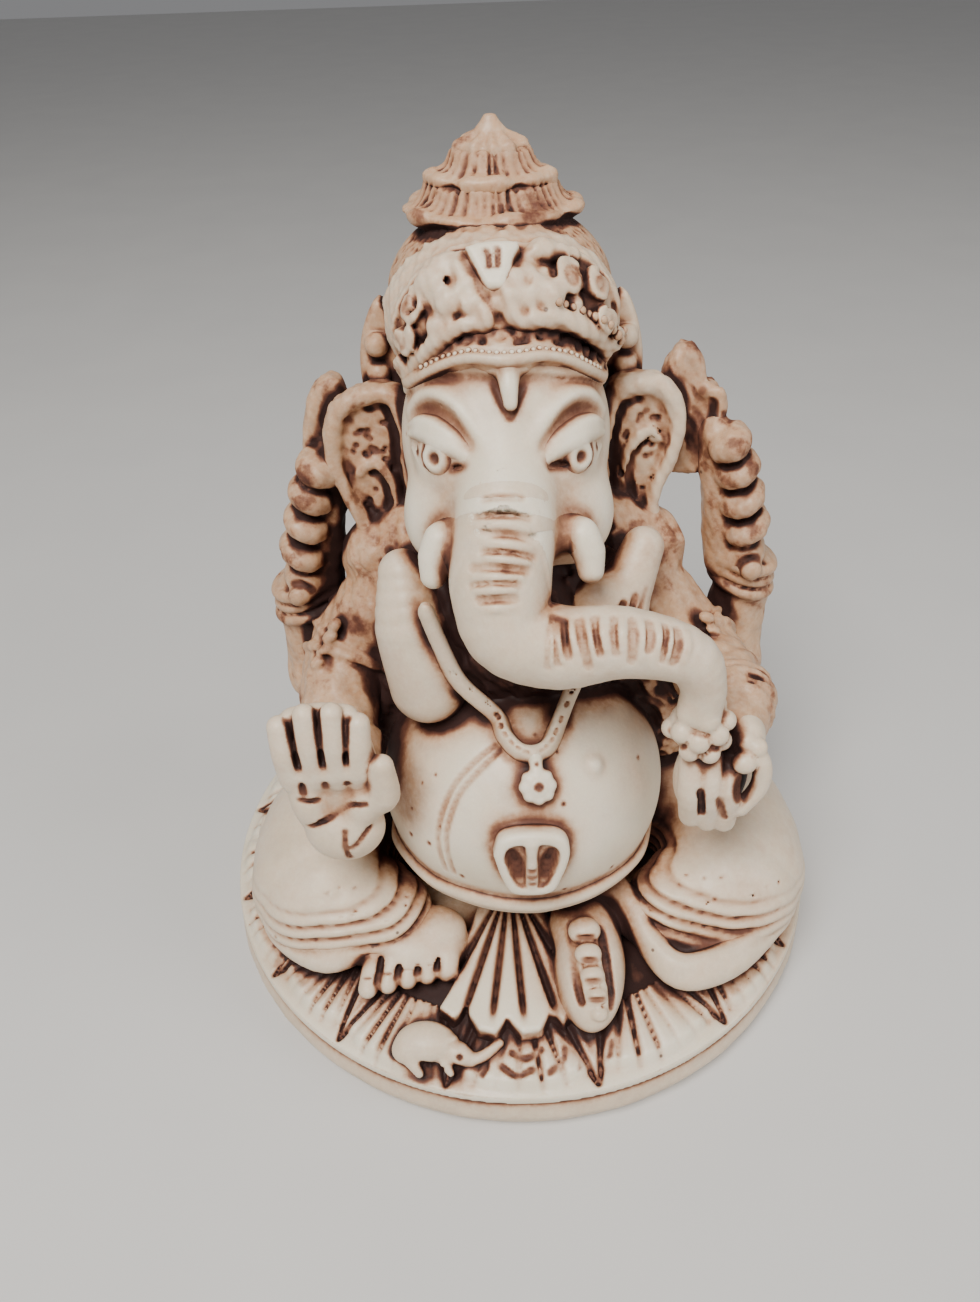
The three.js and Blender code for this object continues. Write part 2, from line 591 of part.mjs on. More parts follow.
carve("body", "front_right_arm", tan, limb(rightArmRoute, frontArmRadii, frontArmFacets));

carve("body", "front_left_hand", ivory,
  egg([handLeft.x, handLeft.y, handLeft.z], [4.8, 4, PALM_HEIGHT * 0.54], [-10, 10, 0], 14));
carve("body", "sweet", ivory,
  egg([sweet.x, sweet.y, sweet.z], [SWEET_RADIUS, SWEET_RADIUS, SWEET_RADIUS * 1.15], [0, 0, 0], 12));
const leftArmRoute = [
  [SHOULDER_WIDTH / 2 - 3, shoulder.y - 2, shoulder.z - 1],
  [SHOULDER_WIDTH / 2 + 4.4, shoulder.y - 6, shoulder.z - 9],
  [handLeft.x + 2.8, handLeft.y + 8, handLeft.z + 3],
  [handLeft.x + 1.8, handLeft.y + 3.4, handLeft.z + 2.6],
];
carve("body", "front_left_arm", tan, limb(leftArmRoute, frontArmRadii, frontArmFacets));

// ---------------------------------------------------------------- chest ornaments

carve("body", "right_pectoral", tan, limb(
  [[chest.x - 12, chest.y - 6.5, chest.z + 9], [chest.x - 11.4, chest.y - 8.6, chest.z + 3.5],
    [chest.x - 10, chest.y - 9.4, chest.z - 4]],
  [2.4, 3.8, 4.3], { steps: 5 }));
carve("body", "left_pectoral", tan,
  egg([chest.x + 9.6, chest.y - 7.6, chest.z + 2], [4.6, 4, 7.4], [8, -12, 0], 12));

const strap = [];
strap.push(onChest(-38, 22, CORD_RADIUS));
strap.push(onChest(-26, -4, CORD_RADIUS + 1));
for (const [side, rise] of [[-26, 64], [-12, 55], [3, 51], [16, 55], [26, 64]]) {
  strap.push(onBelly(side, rise, CORD_RADIUS + 0.6));
}
strap.push(onChest(24, -4, CORD_RADIUS + 1));
carve("body", "necklace", ivory,
  limb(strap, [CORD_RADIUS, CORD_RADIUS], { sides: 6, steps: 12, flat: 1.25 }));
carve("body", "pendant", ivory,
  egg(onBelly(4, 38, 0.5), [PENDANT_RADIUS, 1.3, PENDANT_RADIUS], [-36, 0, 0], SMALL_ROUND));

const cord = [];
for (let side = -72; side <= 72; side += 24) cord.push(onBelly(side, -27, CORD_RADIUS + GAP));
carve("body", "belt_cord", ivory, limb(cord, [CORD_RADIUS, CORD_RADIUS], { sides: 6, steps: 14 }));
const buckleHalf = BUCKLE_WIDTH / 2;
const buckleOutline = smoothOutline([
  [-buckleHalf, 0.6], [-buckleHalf * 0.72, 3.4], [0, 3.9], [buckleHalf * 0.72, 3.4],
  [buckleHalf, 0.6], [buckleHalf * 0.62, -3.2], [0, -3.5], [-buckleHalf * 0.62, -3.2],
]);
carve("body", "belt_buckle", ivory,
  plate(buckleOutline, BUCKLE_THICKNESS, onBelly(1, 9, BUCKLE_THICKNESS / 2), [90 - 9, 0, 0], 2));

// ---------------------------------------------------------------- plinth ornaments

const slopeRun = BASE_RADIUS - 3 - BASE_SEAT_RADIUS;
const slopeDrop = BASE_HEIGHT - BASE_BAND_HEIGHT - 0.8;
const slope = Math.atan2(slopeDrop, slopeRun) / RAD;
const petalMiddle = BASE_RADIUS - 1.6 - PETAL_LENGTH / 2;
const petalHalf = petalMiddle * Math.tan(Math.PI / PETAL_COUNT) - PETAL_SIDE_GAP / 2;

const mouseAngle = 199 + 54; // degrees round the plinth, anticlockwise from +X
const mouse = {
  x: (BASE_RADIUS - 4.4) * Math.cos(mouseAngle * RAD) - 2,
  y: (BASE_RADIUS - 4.4) * Math.sin(mouseAngle * RAD),
  z: BASE_HEIGHT - 1.6,
};
carve("plinth", "mouse", ivory, joined(
  egg([mouse.x, mouse.y, mouse.z], [MOUSE_LENGTH / 2, 2.5, 2.3], [0, 0, -10], 12),
  egg([mouse.x + MOUSE_LENGTH / 2, mouse.y - 0.9, mouse.z - 0.3], [2.6, 1.3, 1.1],
    [0, 12, -14], SMALL_ROUND)));

// Height of the plinth's sloping shoulder at a distance from the middle.
function slopeHeight(radius) {
  return BASE_HEIGHT - (slopeDrop * (radius - BASE_SEAT_RADIUS)) / slopeRun;
}

const petals = [];
for (let i = 0; i < PETAL_COUNT; i++) {
  const angle = ((i + 0.5) * 360) / PETAL_COUNT - 90;
  const half = petalHalf;
  const long = PETAL_LENGTH / 2;
  const petal = straightOutline([
    [-long, -half * 0.72], [long * 0.1, -half], [long * 0.74, -half * 0.62], [long, 0],
    [long * 0.74, half * 0.62], [long * 0.1, half], [-long, half * 0.72],
  ]);
  const height = slopeHeight(petalMiddle) + PETAL_THICKNESS + (PETAL_RELIEF - PETAL_THICKNESS) / 2;
  const at = [petalMiddle * Math.cos(angle * RAD), petalMiddle * Math.sin(angle * RAD), height];
  const lay = new THREE.Euler().setFromRotationMatrix(
    new THREE.Matrix4().makeRotationZ(angle * RAD).multiply(new THREE.Matrix4().makeRotationY(slope * RAD)));
  const turn = [lay.x / RAD, lay.y / RAD, lay.z / RAD];
  petals.push(plate(petal, PETAL_THICKNESS, at, turn));
}
const ringLow = (radius) => slopeHeight(radius) + GAP * 1.25;
const ringHigh = (radius) => slopeHeight(radius) + PETAL_THICKNESS;
const ringInner = BASE_SEAT_RADIUS + 2.5;
const ringOuter = BASE_RADIUS - 3.2;
const ringCore = turned([
  [ringInner, ringLow(ringInner)],
  [ringOuter, ringLow(ringOuter)],
  [ringOuter, ringHigh(ringOuter)],
  [ringInner, ringHigh(ringInner)],
  [ringInner, ringLow(ringInner)],
], [0, 0, 0], [0, 0, 0], PETAL_COUNT * 2);
carve("plinth", "lotus_ring", ivory, joined(ringCore, ...petals));

export default idol;
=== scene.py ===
# %% [markdown]
# # A small seated elephant-headed idol, cast in ivory resin
#
# The real idol is one resin casting: every limb, bead and petal was modelled by hand, and a brown wash
# was rubbed into the hollows and wiped off the high places. We start from the frame, a set of plain
# solids that fixes where each carved element sits and how large it is, and we never move it.

# %% Load the frame
import bpy
import math
import time
import numpy as np
from mathutils import Matrix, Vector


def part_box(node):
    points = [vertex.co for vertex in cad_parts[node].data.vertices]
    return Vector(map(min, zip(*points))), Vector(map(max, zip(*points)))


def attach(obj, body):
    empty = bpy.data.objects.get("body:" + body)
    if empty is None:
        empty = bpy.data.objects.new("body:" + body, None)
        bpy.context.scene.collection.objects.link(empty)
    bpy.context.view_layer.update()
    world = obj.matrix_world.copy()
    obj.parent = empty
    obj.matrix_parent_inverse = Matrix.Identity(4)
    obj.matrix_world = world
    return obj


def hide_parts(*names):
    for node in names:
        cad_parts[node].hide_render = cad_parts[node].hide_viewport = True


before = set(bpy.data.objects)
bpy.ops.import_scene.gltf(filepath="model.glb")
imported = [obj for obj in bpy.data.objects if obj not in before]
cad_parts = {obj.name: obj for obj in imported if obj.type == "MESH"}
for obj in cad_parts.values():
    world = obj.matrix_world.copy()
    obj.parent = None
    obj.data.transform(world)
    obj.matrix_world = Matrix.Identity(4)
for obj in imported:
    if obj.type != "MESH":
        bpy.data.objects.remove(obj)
started = time.time()
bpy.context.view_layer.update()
MM = 0.001
print("frame nodes:", len(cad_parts))


# %% Measure the frame in millimetres
def low(node):
    return np.array(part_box(node)[0]) / MM


def high(node):
    return np.array(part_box(node)[1]) / MM


def mid(node):
    return (low(node) + high(node)) / 2


def half(node):
    return (high(node) - low(node)) / 2


BASE_R = half("plinth")[0]
SEAT = high("plinth")[2]
BELLY, BELLY_R = mid("belly"), half("belly")
BULB_R = np.array([half("crown_bulb")[0], half("crown_bulb")[1], 8.25])
BULB = np.array([mid("crown_bulb")[0], mid("crown_bulb")[1], high("crown_tier_1")[2] - 1.0 - BULB_R[2]])
HEAD = np.array([mid("head")[0], mid("head")[1], BULB[2] - 12.15])
CHEST = np.array([mid("chest")[0], mid("chest")[1], HEAD[2] - 21.2])
CHEST_R = np.array([half("chest")[0], half("chest")[1], 13.5])
HEAD_R = np.array([half("head")[0] * 1.005, half("head")[1], 12.5])
print("belly", BELLY, "head", HEAD, "bulb", BULB)

# %% [markdown]
# ## Virtual clay
#
# A casting has no seams, so its surface is best described as one field of distances: below zero inside
# the resin, above zero outside. Balls, rods and slabs of clay are added, and grooves are pressed in with
# thin rods. Each carved element keeps its own grid of distances. Booleans on meshes would tear on this
# much detail, while distances join and cut without fail.

# %% Grid sizes
VOXEL = 0.265
ROOM = 3.2  # how far round a shape its distances are written, in mm
CUT_ROOM = 1.2  # the same round a groove
FAR = np.float32(4.0)  # the distance where nothing was written
WELD = 0.28  # how softly two elements melt together
SKIN = 0.7  # how far a piece reaches past its own clay
MELT_FADE, MELT_REACH = 0.9, 3.0  # how fast, and over how many mm, a piece leaves the melted field
TOUCH_GAP, TOUCH_STEPS = 0.02, 60  # when a feeler counts as touching, and its longest search


# %% Shapes: each is (low corner, high corner, distance function)
SIDES = ((-1, "right"), (1, "left"))


def unit(v):
    return v / np.linalg.norm(v)


def turning(turn):
    rx, ry, rz = np.radians(turn)
    about_x = np.array([[1, 0, 0], [0, np.cos(rx), -np.sin(rx)], [0, np.sin(rx), np.cos(rx)]])
    about_y = np.array([[np.cos(ry), 0, np.sin(ry)], [0, 1, 0], [-np.sin(ry), 0, np.cos(ry)]])
    about_z = np.array([[np.cos(rz), -np.sin(rz), 0], [np.sin(rz), np.cos(rz), 0], [0, 0, 1]])
    return about_z @ about_y @ about_x


def local(axes, at, x, y, z):
    dx, dy, dz = x - np.float32(at[0]), y - np.float32(at[1]), z - np.float32(at[2])
    a = axes.astype(np.float32)
    return [a[0, k] * dx + a[1, k] * dy + a[2, k] * dz for k in range(3)]


def egg(at, radii, turn=(0, 0, 0)):
    at = np.array(at, float)
    radii = np.broadcast_to(np.array(radii, float), 3)
    axes = turning(turn)
    reach = np.sqrt(((axes * radii) ** 2).sum(1))
    tiny = 1e-6

    def distance(x, y, z):
        u, v, w = local(axes, at, x, y, z)
        k0 = np.sqrt((u / radii[0]) ** 2 + (v / radii[1]) ** 2 + (w / radii[2]) ** 2 + tiny)
        k1 = np.sqrt((u / radii[0] ** 2) ** 2 + (v / radii[1] ** 2) ** 2 + (w / radii[2] ** 2) ** 2 + tiny)
        return k0 * (k0 - 1) / k1

    return at - reach, at + reach, distance


def smooth_path(points, count):
    """A Catmull-Rom curve through the points, as count + 1 points."""
    p = np.array(points, float)
    p = np.vstack([2 * p[0] - p[1], p, 2 * p[-1] - p[-2]])
    t = np.linspace(0, len(points) - 1, count + 1)
    i = np.minimum(t.astype(int), len(points) - 2)
    s = (t - i)[:, None]
    a, b, c, d = p[i], p[i + 1], p[i + 2], p[i + 3]
    return 0.5 * (2 * b + (c - a) * s + (2 * a - 5 * b + 4 * c - d) * s ** 2
                  + (3 * b - a - 3 * c + d) * s ** 3)


def rod(points, radii, count=None):
    """A round-ended rod along a smooth curve, its radius running through radii."""
    radii = np.atleast_1d(np.array(radii, float))
    count = count or max(2, 3 * (len(points) - 1))
    path = smooth_path(points, count)
    along = np.linspace(0, 1, count + 1)
    thick = np.interp(along, np.linspace(0, 1, len(radii)), radii) if len(radii) > 1 else np.full(count + 1,
                                                                                                  radii[0])

    def distance(x, y, z):
        best = None
        for a, b, ra, rb in zip(path[:-1], path[1:], thick[:-1], thick[1:]):
            run = (b - a).astype(np.float32)
            dx, dy, dz = x - np.float32(a[0]), y - np.float32(a[1]), z - np.float32(a[2])
            h = np.clip((dx * run[0] + dy * run[1] + dz * run[2]) / max(float(run @ run), 1e-9), 0, 1)
            d = np.sqrt((dx - h * run[0]) ** 2 + (dy - h * run[1]) ** 2 + (dz - h * run[2]) ** 2)
            d = d - np.float32(ra) - h * np.float32(rb - ra)
            best = d if best is None else np.minimum(best, d)
        return best

    return (path - thick[:, None]).min(0), (path + thick[:, None]).max(0), distance


def outline_distance(points, u, v):
    """Distance to a closed outline in a plane, below zero inside."""
    p = np.array(points, np.float32)
    best = np.float32(1e9)
    inside = np.zeros(np.broadcast(u, v).shape, bool)
    for a, b in zip(p, np.roll(p, -1, 0)):
        e = b - a
        du, dv = u - a[0], v - a[1]
        h = np.clip((du * e[0] + dv * e[1]) / max(float(e @ e), 1e-9), 0, 1)
        best = np.minimum(best, (du - h * e[0]) ** 2 + (dv - h * e[1]) ** 2)
        crosses = (a[1] > v) != (b[1] > v)
        inside ^= crosses & (du < e[0] * dv / (e[1] if abs(e[1]) > 1e-9 else 1e-9))
    return np.where(inside, -1, 1).astype(np.float32) * np.sqrt(best)


def slab(points, thickness, at, turn=(0, 0, 0), corner=0.4, smooth=0):
    """A plate with an outline in its own X and Y and rounded edges."""
    flat = np.array(points, float)
    if smooth:
        ring = np.vstack([flat, flat[:1]])
        flat = smooth_path(np.c_[ring, np.zeros(len(ring))], smooth)[:-1, :2]
    axes = turning(turn)
    corners = np.array([[a, b, c] for a, b in flat for c in (-thickness / 2, thickness / 2)]) @ axes.T + at

    def distance(x, y, z):
        u, v, w = local(axes, at, x, y, z)
        du = outline_distance(flat, u, v) + corner
        dw = np.abs(w) - thickness / 2 + corner
        return np.hypot(np.maximum(du, 0), np.maximum(dw, 0)) + np.minimum(np.maximum(du, dw), 0) - corner

    return corners.min(0), corners.max(0), distance


def turned(profile, at, corner=0.3):
    """A body of revolution about an upright axis, from a closed outline of [radius, height]."""
    flat = np.array(profile, float)
    reach = flat[:, 0].max()

    def distance(x, y, z):
        r = np.hypot(x - at[0], y - at[1])
        return outline_distance(flat, r, z - np.float32(at[2])) - corner

    lowest = np.array([at[0] - reach, at[1] - reach, at[2] + flat[:, 1].min()])
    return lowest, np.array([at[0] + reach, at[1] + reach, at[2] + flat[:, 1].max()]), distance


# %% Clay: one carved element's grid
def soft_min(a, b, k):
    if k <= 0:
        return np.minimum(a, b)
    h = np.clip(0.5 + 0.5 * (b - a) / k, 0, 1)
    return b + (a - b) * h - k * h * (1 - h)


class Clay:
    """Distances to one carved element, and where brown wash was worked into it."""

    def __init__(self, *shapes, blend=0.0, room=1.0):
        lowest = np.min([s[0] for s in shapes], 0) - ROOM - room
        highest = np.max([s[1] for s in shapes], 0) + ROOM + room
        self.first = np.floor(lowest / VOXEL).astype(int)
        self.shape = np.ceil(highest / VOXEL).astype(int) - self.first + 1
        self.gap = np.full(self.shape, FAR, np.float32)
        self.wash = np.zeros(self.shape, np.float32)
        for shape in shapes:
            self.add(shape, blend=blend)

    def window(self, lowest, highest, room):
        a = np.maximum(np.floor((np.array(lowest) - room) / VOXEL).astype(int) - self.first, 0)
        b = np.minimum(np.ceil((np.array(highest) + room) / VOXEL).astype(int) + 1 - self.first, self.shape)
        if (b <= a).any():
            return None, None
        axes = [((np.arange(a[k], b[k]) + self.first[k]) * VOXEL).astype(np.float32) for k in range(3)]
        return tuple(slice(a[k], b[k]) for k in range(3)), np.meshgrid(*axes, indexing="ij", sparse=True)

    def add(self, *shapes, blend=0.0):
        for lowest, highest, distance in shapes:
            part, at = self.window(lowest, highest, ROOM)
            if part:
                d = distance(*at).astype(np.float32)
                self.gap[part] = soft_min(self.gap[part], d, blend)
                self.wash[part] *= np.clip((d + 0.05) / 0.3, 0, 1)
        return self

    def cut(self, *shapes, blend=0.3, wash=0.5, spread=0.22):
        for lowest, highest, distance in shapes:
            part, at = self.window(lowest, highest, CUT_ROOM + blend)
            if part:
                d = distance(*at).astype(np.float32)
                self.gap[part] = -soft_min(-self.gap[part], d, blend)
                if wash:
                    self.wash[part] = np.maximum(self.wash[part], wash * np.clip(1 - d / spread, 0, 1) ** 1.5)
        return self

    def press(self, relief):
        """relief(x, y, z) gives (height, wash) over the whole grid: the surface rises by height."""
        part, at = self.window(self.first * VOXEL, (self.first + self.shape) * VOXEL, 0)
        height, wash = relief(*at)
        self.gap[part] -= height
        self.wash[part] = np.maximum(self.wash[part], wash)
        return self


def line(points, width=0.24, count=None):
    return rod(points, [width], count)


def touch(shapes, start, way):
    """The point where a straight line from start first meets the clay."""
    way = unit(np.array(way, float))
    point = np.array(start, float)
    for _ in range(TOUCH_STEPS):
        spot = [np.array([v], np.float32) for v in point]
        gap = float(min(s[2](*spot)[0] for s in shapes))
        if gap < TOUCH_GAP:
            break
        point = point + way * gap * 0.9
    return point


def on_egg(at, radii, side, rise, lift=0.0):
    """A point on an egg: side degrees to the viewer's right of dead ahead, rise degrees up."""
    s, r = math.radians(side), math.radians(rise)
    radii = np.array(radii) + lift
    return np.array(at) + radii * [math.sin(s) * math.cos(r), -math.cos(s) * math.cos(r), math.sin(r)]


def laid(on, points, lift, up=0.0):
    """A path given in degrees, laid on a surface by on_head, on_belly or on_diadem."""
    return [on(side, rise + up, lift) for side, rise in points]


def near(at, *offsets):
    """Points given by their distances from one point."""
    return [at + offset for offset in offsets]


def hoop(at, radius, a, b, count=13):
    """Points of a circle in the plane of the directions a and b."""
    return [at + radius * (a * math.cos(t) + b * math.sin(t)) for t in np.linspace(0, 2 * math.pi, count)]


def step(a, b, v):
    t = np.clip((v - a) / (b - a), 0, 1)
    return t * t * (3 - 2 * t)


def lumps(x, y, z, size):
    """Uneven lumps about size mm across, between -1 and 1, the same on every run."""
    k = 2 * math.pi / size
    a = np.sin(k * (0.91 * x + 0.37 * y + 0.11 * z) + 1.3) * np.sin(k * (0.83 * y - 0.29 * z) + 2.1)
    b = np.sin(k * (0.77 * z + 0.43 * x) + 0.4) * np.sin(k * 1.61 * (0.6 * x - 0.7 * y + 0.3 * z) + 4.0)
    return (a + b) * 0.5


def roughen(piece, height, size):
    """Uneven lumps all over a piece, as on hand-modelled clay."""
    piece.press(lambda x, y, z: (height * lumps(x, y, z, size), 0 * x * y * z))


clay = {}

# %% [markdown]
# ## Plinth and lotus petals
#
# The plinth is a turned disc with a plain rolled band. On its sloping shoulder lie round fans of engraved
# strokes, with a small pointed leaf between two fans. A height above the slope, worked out from the angle
# round the plinth, gives all of them at once.

# %% Plinth
SHOULDER_R, SHOULDER_Z = BASE_R - 3.0, 7.4
SEAT_R = 27.0
clay["plinth"] = Clay(turned([
    [0, 0.3], [BASE_R - 2.2, 0.3], [BASE_R - 0.9, 1.4], [BASE_R - 0.35, 3.0], [BASE_R - 0.9, 5.2],
    [BASE_R - 2.4, 6.8],
    [SHOULDER_R - 1.6, SHOULDER_Z - 0.1], [SEAT_R, SEAT - 0.35], [0, SEAT - 0.35]], [0, 0, 0], 0.3))
clay["plinth"].press(lambda x, y, z: (0.10 * lumps(x, y, z, 9) * step(1, 2.4, z), 0 * x * y * z))

# %% Petal ring
PETALS = 16
RING_INNER = 31.3
PITCH = 2 * math.pi / PETALS


def slope(r):
    return SEAT - (SEAT - SHOULDER_Z) * (r - SEAT_R) / (SHOULDER_R - SEAT_R)


def petal_relief(x, y):
    """Height above the slope and wash: round fans of strokes, with a small pointed leaf between two fans."""
    r = np.hypot(x, y)
    angle = np.arctan2(y, x)
    turn = (angle + math.pi / 2) / PITCH + 0.16 * np.sin(3 * angle + 1) + 0.5
    s = 2 * (turn % 1) - 1
    which = np.floor(turn)
    mm_across = PITCH * r / 2
    leaf_edge = np.abs(s) - 1 + 0.30 * np.clip((BASE_R - 1.2 - r) / 7.5, 0, 1)
    fan_tip = BASE_R - 0.9 - 1.7 * np.abs(s) ** 2.5 - 0.3 * np.sin(which * 2.3)
    tip = np.where(leaf_edge > 0, BASE_R - 1.1, fan_tip)
    inside = step(-0.1, 1.1, tip - r)
    fan = s * mm_across / (r - 24.5)
    bend = 0.35 * np.sin(which * 1.7) * (r - 33) / 6
    stroke = np.abs(np.sin(fan * 19 + bend + which)) ** 0.6
    amount = step(30.0, 31.5, r) * step(0.0, -0.08, leaf_edge) * (0.65 + 0.35 * np.sin(which * 3.1 + 5 * s))
    groove = np.exp(-(leaf_edge * mm_across / 0.34) ** 2) * step(30.5, 32.5, r)
    groove = groove * step(BASE_R - 0.6, BASE_R - 1.4, r)
    spine = np.exp(-((1 - np.abs(s)) * mm_across / 0.25) ** 2) * step(31, 33, r)
    spine = spine * step(BASE_R - 3, BASE_R - 5, r) * 0.6
    height = inside * (1.1 - 0.45 * s ** 2) - 0.95 * amount * (1 - stroke) * np.sqrt(inside)
    height = height - 0.85 * groove - 0.35 * spine
    wash = np.maximum((1 - stroke) ** 1.6 * 0.7 * amount * np.sqrt(inside),
                      np.maximum(groove * 0.8, spine * 0.5))
    return height, wash


def petal_gap(x, y, z):
    r = np.hypot(x, y)
    height, _ = petal_relief(x, y)
    floor = slope(r)
    return np.maximum(np.maximum((z - floor - 0.25 - height) * 0.9, floor - 0.9 - z),
                      np.maximum(RING_INNER - r, r - BASE_R + 0.4))


ring = (np.array([-BASE_R, -BASE_R, 6.2]), np.array([BASE_R, BASE_R, SEAT + 1.4]), petal_gap)
clay["lotus_ring"] = Clay(ring, room=0)
clay["lotus_ring"].press(lambda x, y, z: (0 * x * y * z, petal_relief(x, y)[1] * (0 * z + 0.75)))
scroll_marks = [
    [(-3.4, -36.6), (-1.8, -37.6), (0.2, -37.0)], [(-2.2, -35.2), (-0.6, -35.9), (1.2, -35.0)],
    [(2.0, -37.4), (3.6, -36.2), (4.0, -34.8)], [(5.6, -37.2), (5.9, -35.6), (5.2, -34.4)],
    [(7.6, -36.6), (9.0, -35.8), (9.6, -34.2)], [(-5.8, -37.4), (-5.2, -36.4), (-5.6, -35.4)],
]
for mark in scroll_marks:
    at = [(px, py, slope(math.hypot(px, py)) + 1.25) for px, py in mark]
    clay["lotus_ring"].cut(line(at, 0.3), wash=0.9)

# %% Mouse on the plinth
MOUSE = mid("mouse")
clay["mouse"] = Clay(
    egg(MOUSE + [-0.9, 0.1, 0.9], (3.5, 2.3, 1.8), (12, 0, -4)),
    egg(MOUSE + [-3.0, -0.4, 0.3], (1.9, 1.7, 1.5)),
    egg(MOUSE + [2.6, -1.0, 0.3], (1.7, 1.3, 1.2), (0, 0, -20)),
    rod(near(MOUSE, (3.4, -1.4, 0.1), (5.0, -1.7, 0.0), (7.6, -0.3, 0.7)), [0.9, 0.6, 0.45]),
    egg(MOUSE + [2.0, -0.1, 1.4], (0.8, 0.35, 0.8), (30, 0, 20)),
    rod(near(MOUSE, (1.2, -2.0, -0.1), (1.9, -2.9, -0.8)), [0.7, 0.45]),
    rod(near(MOUSE, (-2.4, -1.9, -0.2), (-1.7, -2.8, -0.9)), [0.8, 0.5]),
    blend=0.5)
clay["mouse"].cut(line(near(MOUSE, (-1.2, -1.9, 0.0), (0.1, -2.5, -0.5), (0.9, -2.3, -0.4)), 0.38), wash=0.9)
clay["mouse"].cut(egg(MOUSE + [3.0, -2.0, 0.9], 0.3), wash=0.9)

# %% [markdown]
# ## Belly, hips, chest and shawl
#
# Big soft forms come first. The belly is nearly a ball and polished by wiping; a sacred thread is
# engraved on it as two arcs side by side. The chest behind it stayed rough, because no cloth reaches in
# there.

# %% Belly
clay["belly"] = Clay(egg(BELLY, BELLY_R), egg(on_egg(BELLY, BELLY_R, 37, 41, -0.45), (1.0, 1.0, 1.0)),
                     blend=0.6)
thread_arcs = [
    [(-19, 55), (-29, 46), (-35, 34), (-37, 16), (-36, 4), (-34, -8)],
    [(-15, 54), (-25, 43), (-31, 32), (-33, 16), (-32, 4), (-30, -8)],
]
for arc in thread_arcs:
    clay["belly"].cut(line([on_egg(BELLY, BELLY_R, s, r, 0.1) for s, r in arc], 0.3, 30), blend=0.25,
                      wash=0.32, spread=0.12)

# %% Hips, chest and shawl
HIPS = mid("hips")
clay["hips"] = Clay(egg(HIPS, half("hips") * [1, 1, 1.02]))
neck = egg(CHEST + [-0.5, 1.5, 10], (8.5, 8, 7))
shoulders = rod(near(CHEST, (-15, 3, 5.5), (-7, 3.5, 8.5), (7, 3.5, 8.5), (15, 3, 5.5)), [4.6, 5.6, 5.6, 4.6])
flanks = [egg(CHEST + [side * 12.5, 3.5, -9.5], (7.2, 8.5, 12), (0, side * 6, 0)) for side in (-1, 1)]
flanks += [rod([(side * 12.5, -1.5, CHEST[2] - 3), (side * 17, -3.5, CHEST[2] - 11),
                (side * 18, -2, CHEST[2] - 19)], [4.6, 4.6, 5.0])
           for side in (-1, 1)]
clay["chest"] = Clay(egg(CHEST, CHEST_R), neck, shoulders, *flanks, blend=2.0)
# The lower front of the chest, between the pectorals and behind the belly, gets wash 0.8: brown wash, and
# painted shade for that deep hollow.
clay["chest"].press(lambda x, y, z: (
    0.5 * lumps(x, y, z, 2.4) * step(0, -6, y) + 0.3 * lumps(y, z, x, 5.3),
    0.8 * step(-2, -8, y) * step(63, 58, z) * step(13.5, 9.5, np.abs(x)) + 0 * x))

SHAWL = mid("back_shawl")


def shawl_folds(x, y, z):
    fan = np.arctan2(x - SHAWL[0], z - SHAWL[2] + 46)
    fold = np.abs(np.sin(fan * 34 + 0.35 * np.sin(z * 0.35)))
    strength = step(3, 7, y)
    return 0.55 * fold * strength, (1 - fold) ** 3 * 0.8 * strength


clay["back_shawl"] = Clay(
    egg([SHAWL[0], CHEST[1] + 9, CHEST[2] - 7], (CHEST_R[0] * 0.97, 7, 20), (-4, 0, 0)),
    rod(near(CHEST, (-13, 5.5, 4), (-9, 9.5, 6), (9, 9.5, 6), (13, 5.5, 4)), [3.4]),
    blend=2.5)
clay["back_shawl"].press(shawl_folds)


def ground(x, y, z):
    """Rough resin in the pit between belly, feet and apron, darkened with wash and with painted shade."""
    pit = step(16, 11, np.abs(x + 2)) * step(-6, -10, y) + 0 * z
    return 0.5 * lumps(x, y, z, 1.6) * pit, 0.75 * pit


clay["hips"].press(ground)

# %% [markdown]
# ## Folded legs and dhoti
#
# Each leg is a thick rod bent round at the knee. Its cloth falls in level folds, so the fold pattern
# follows the height, nudged by slow waves. A rolled hem runs round below the folds, and a pleated fan
# hangs between the feet.

# %% Legs
LEG_Z = SEAT + 6.7
FOLD_PITCH, FOLD_START = 1.62, 12.1


def leg(side):
    spread = 24.0 + (1.5 if side > 0 else 0)
    route = [
        [side * (spread - 13), BELLY[1] + 11.5, SEAT + 8.6],
        [side * (spread - 1), BELLY[1] + 5.5, LEG_Z],
        [side * (spread + 0.2), BELLY[1] - 5.0, LEG_Z - 1.3],
        [side * (spread - 7.5), BELLY[1] - 9.0, LEG_Z - 1.8],
    ]
    return [
        rod(route, [8.2, 8.6, 8.3, 4.8], 10),
        rod([np.array(p) + [side * 1.2, -0.8, -1.2] for p in route], [8.4, 8.8, 8.4, 5.0], 10),
    ]


def leg_folds(side):
    def relief(x, y, z):
        inner = side * x
        level = z + 0.16 * inner + 0.35 * np.sin(0.32 * x + 0.5 * y) + 0.05 * (y + 20)
        wave = np.abs(np.sin(math.pi * (level - FOLD_START) / FOLD_PITCH))
        where = step(25.5, 21.5, level) * step(-7, -13, y) * step(8, 13, inner)
        soft = where * (0.45 + 0.55 * step(33, 26, inner))
        return 0.62 * (wave - 0.6) * soft, (1 - wave) ** 2.2 * 0.6 * soft

    return relief


for side, name in SIDES:
    clay[f"{name}_leg"] = Clay(*leg(side), blend=1.5)
    clay[f"{name}_leg"].press(leg_folds(side))

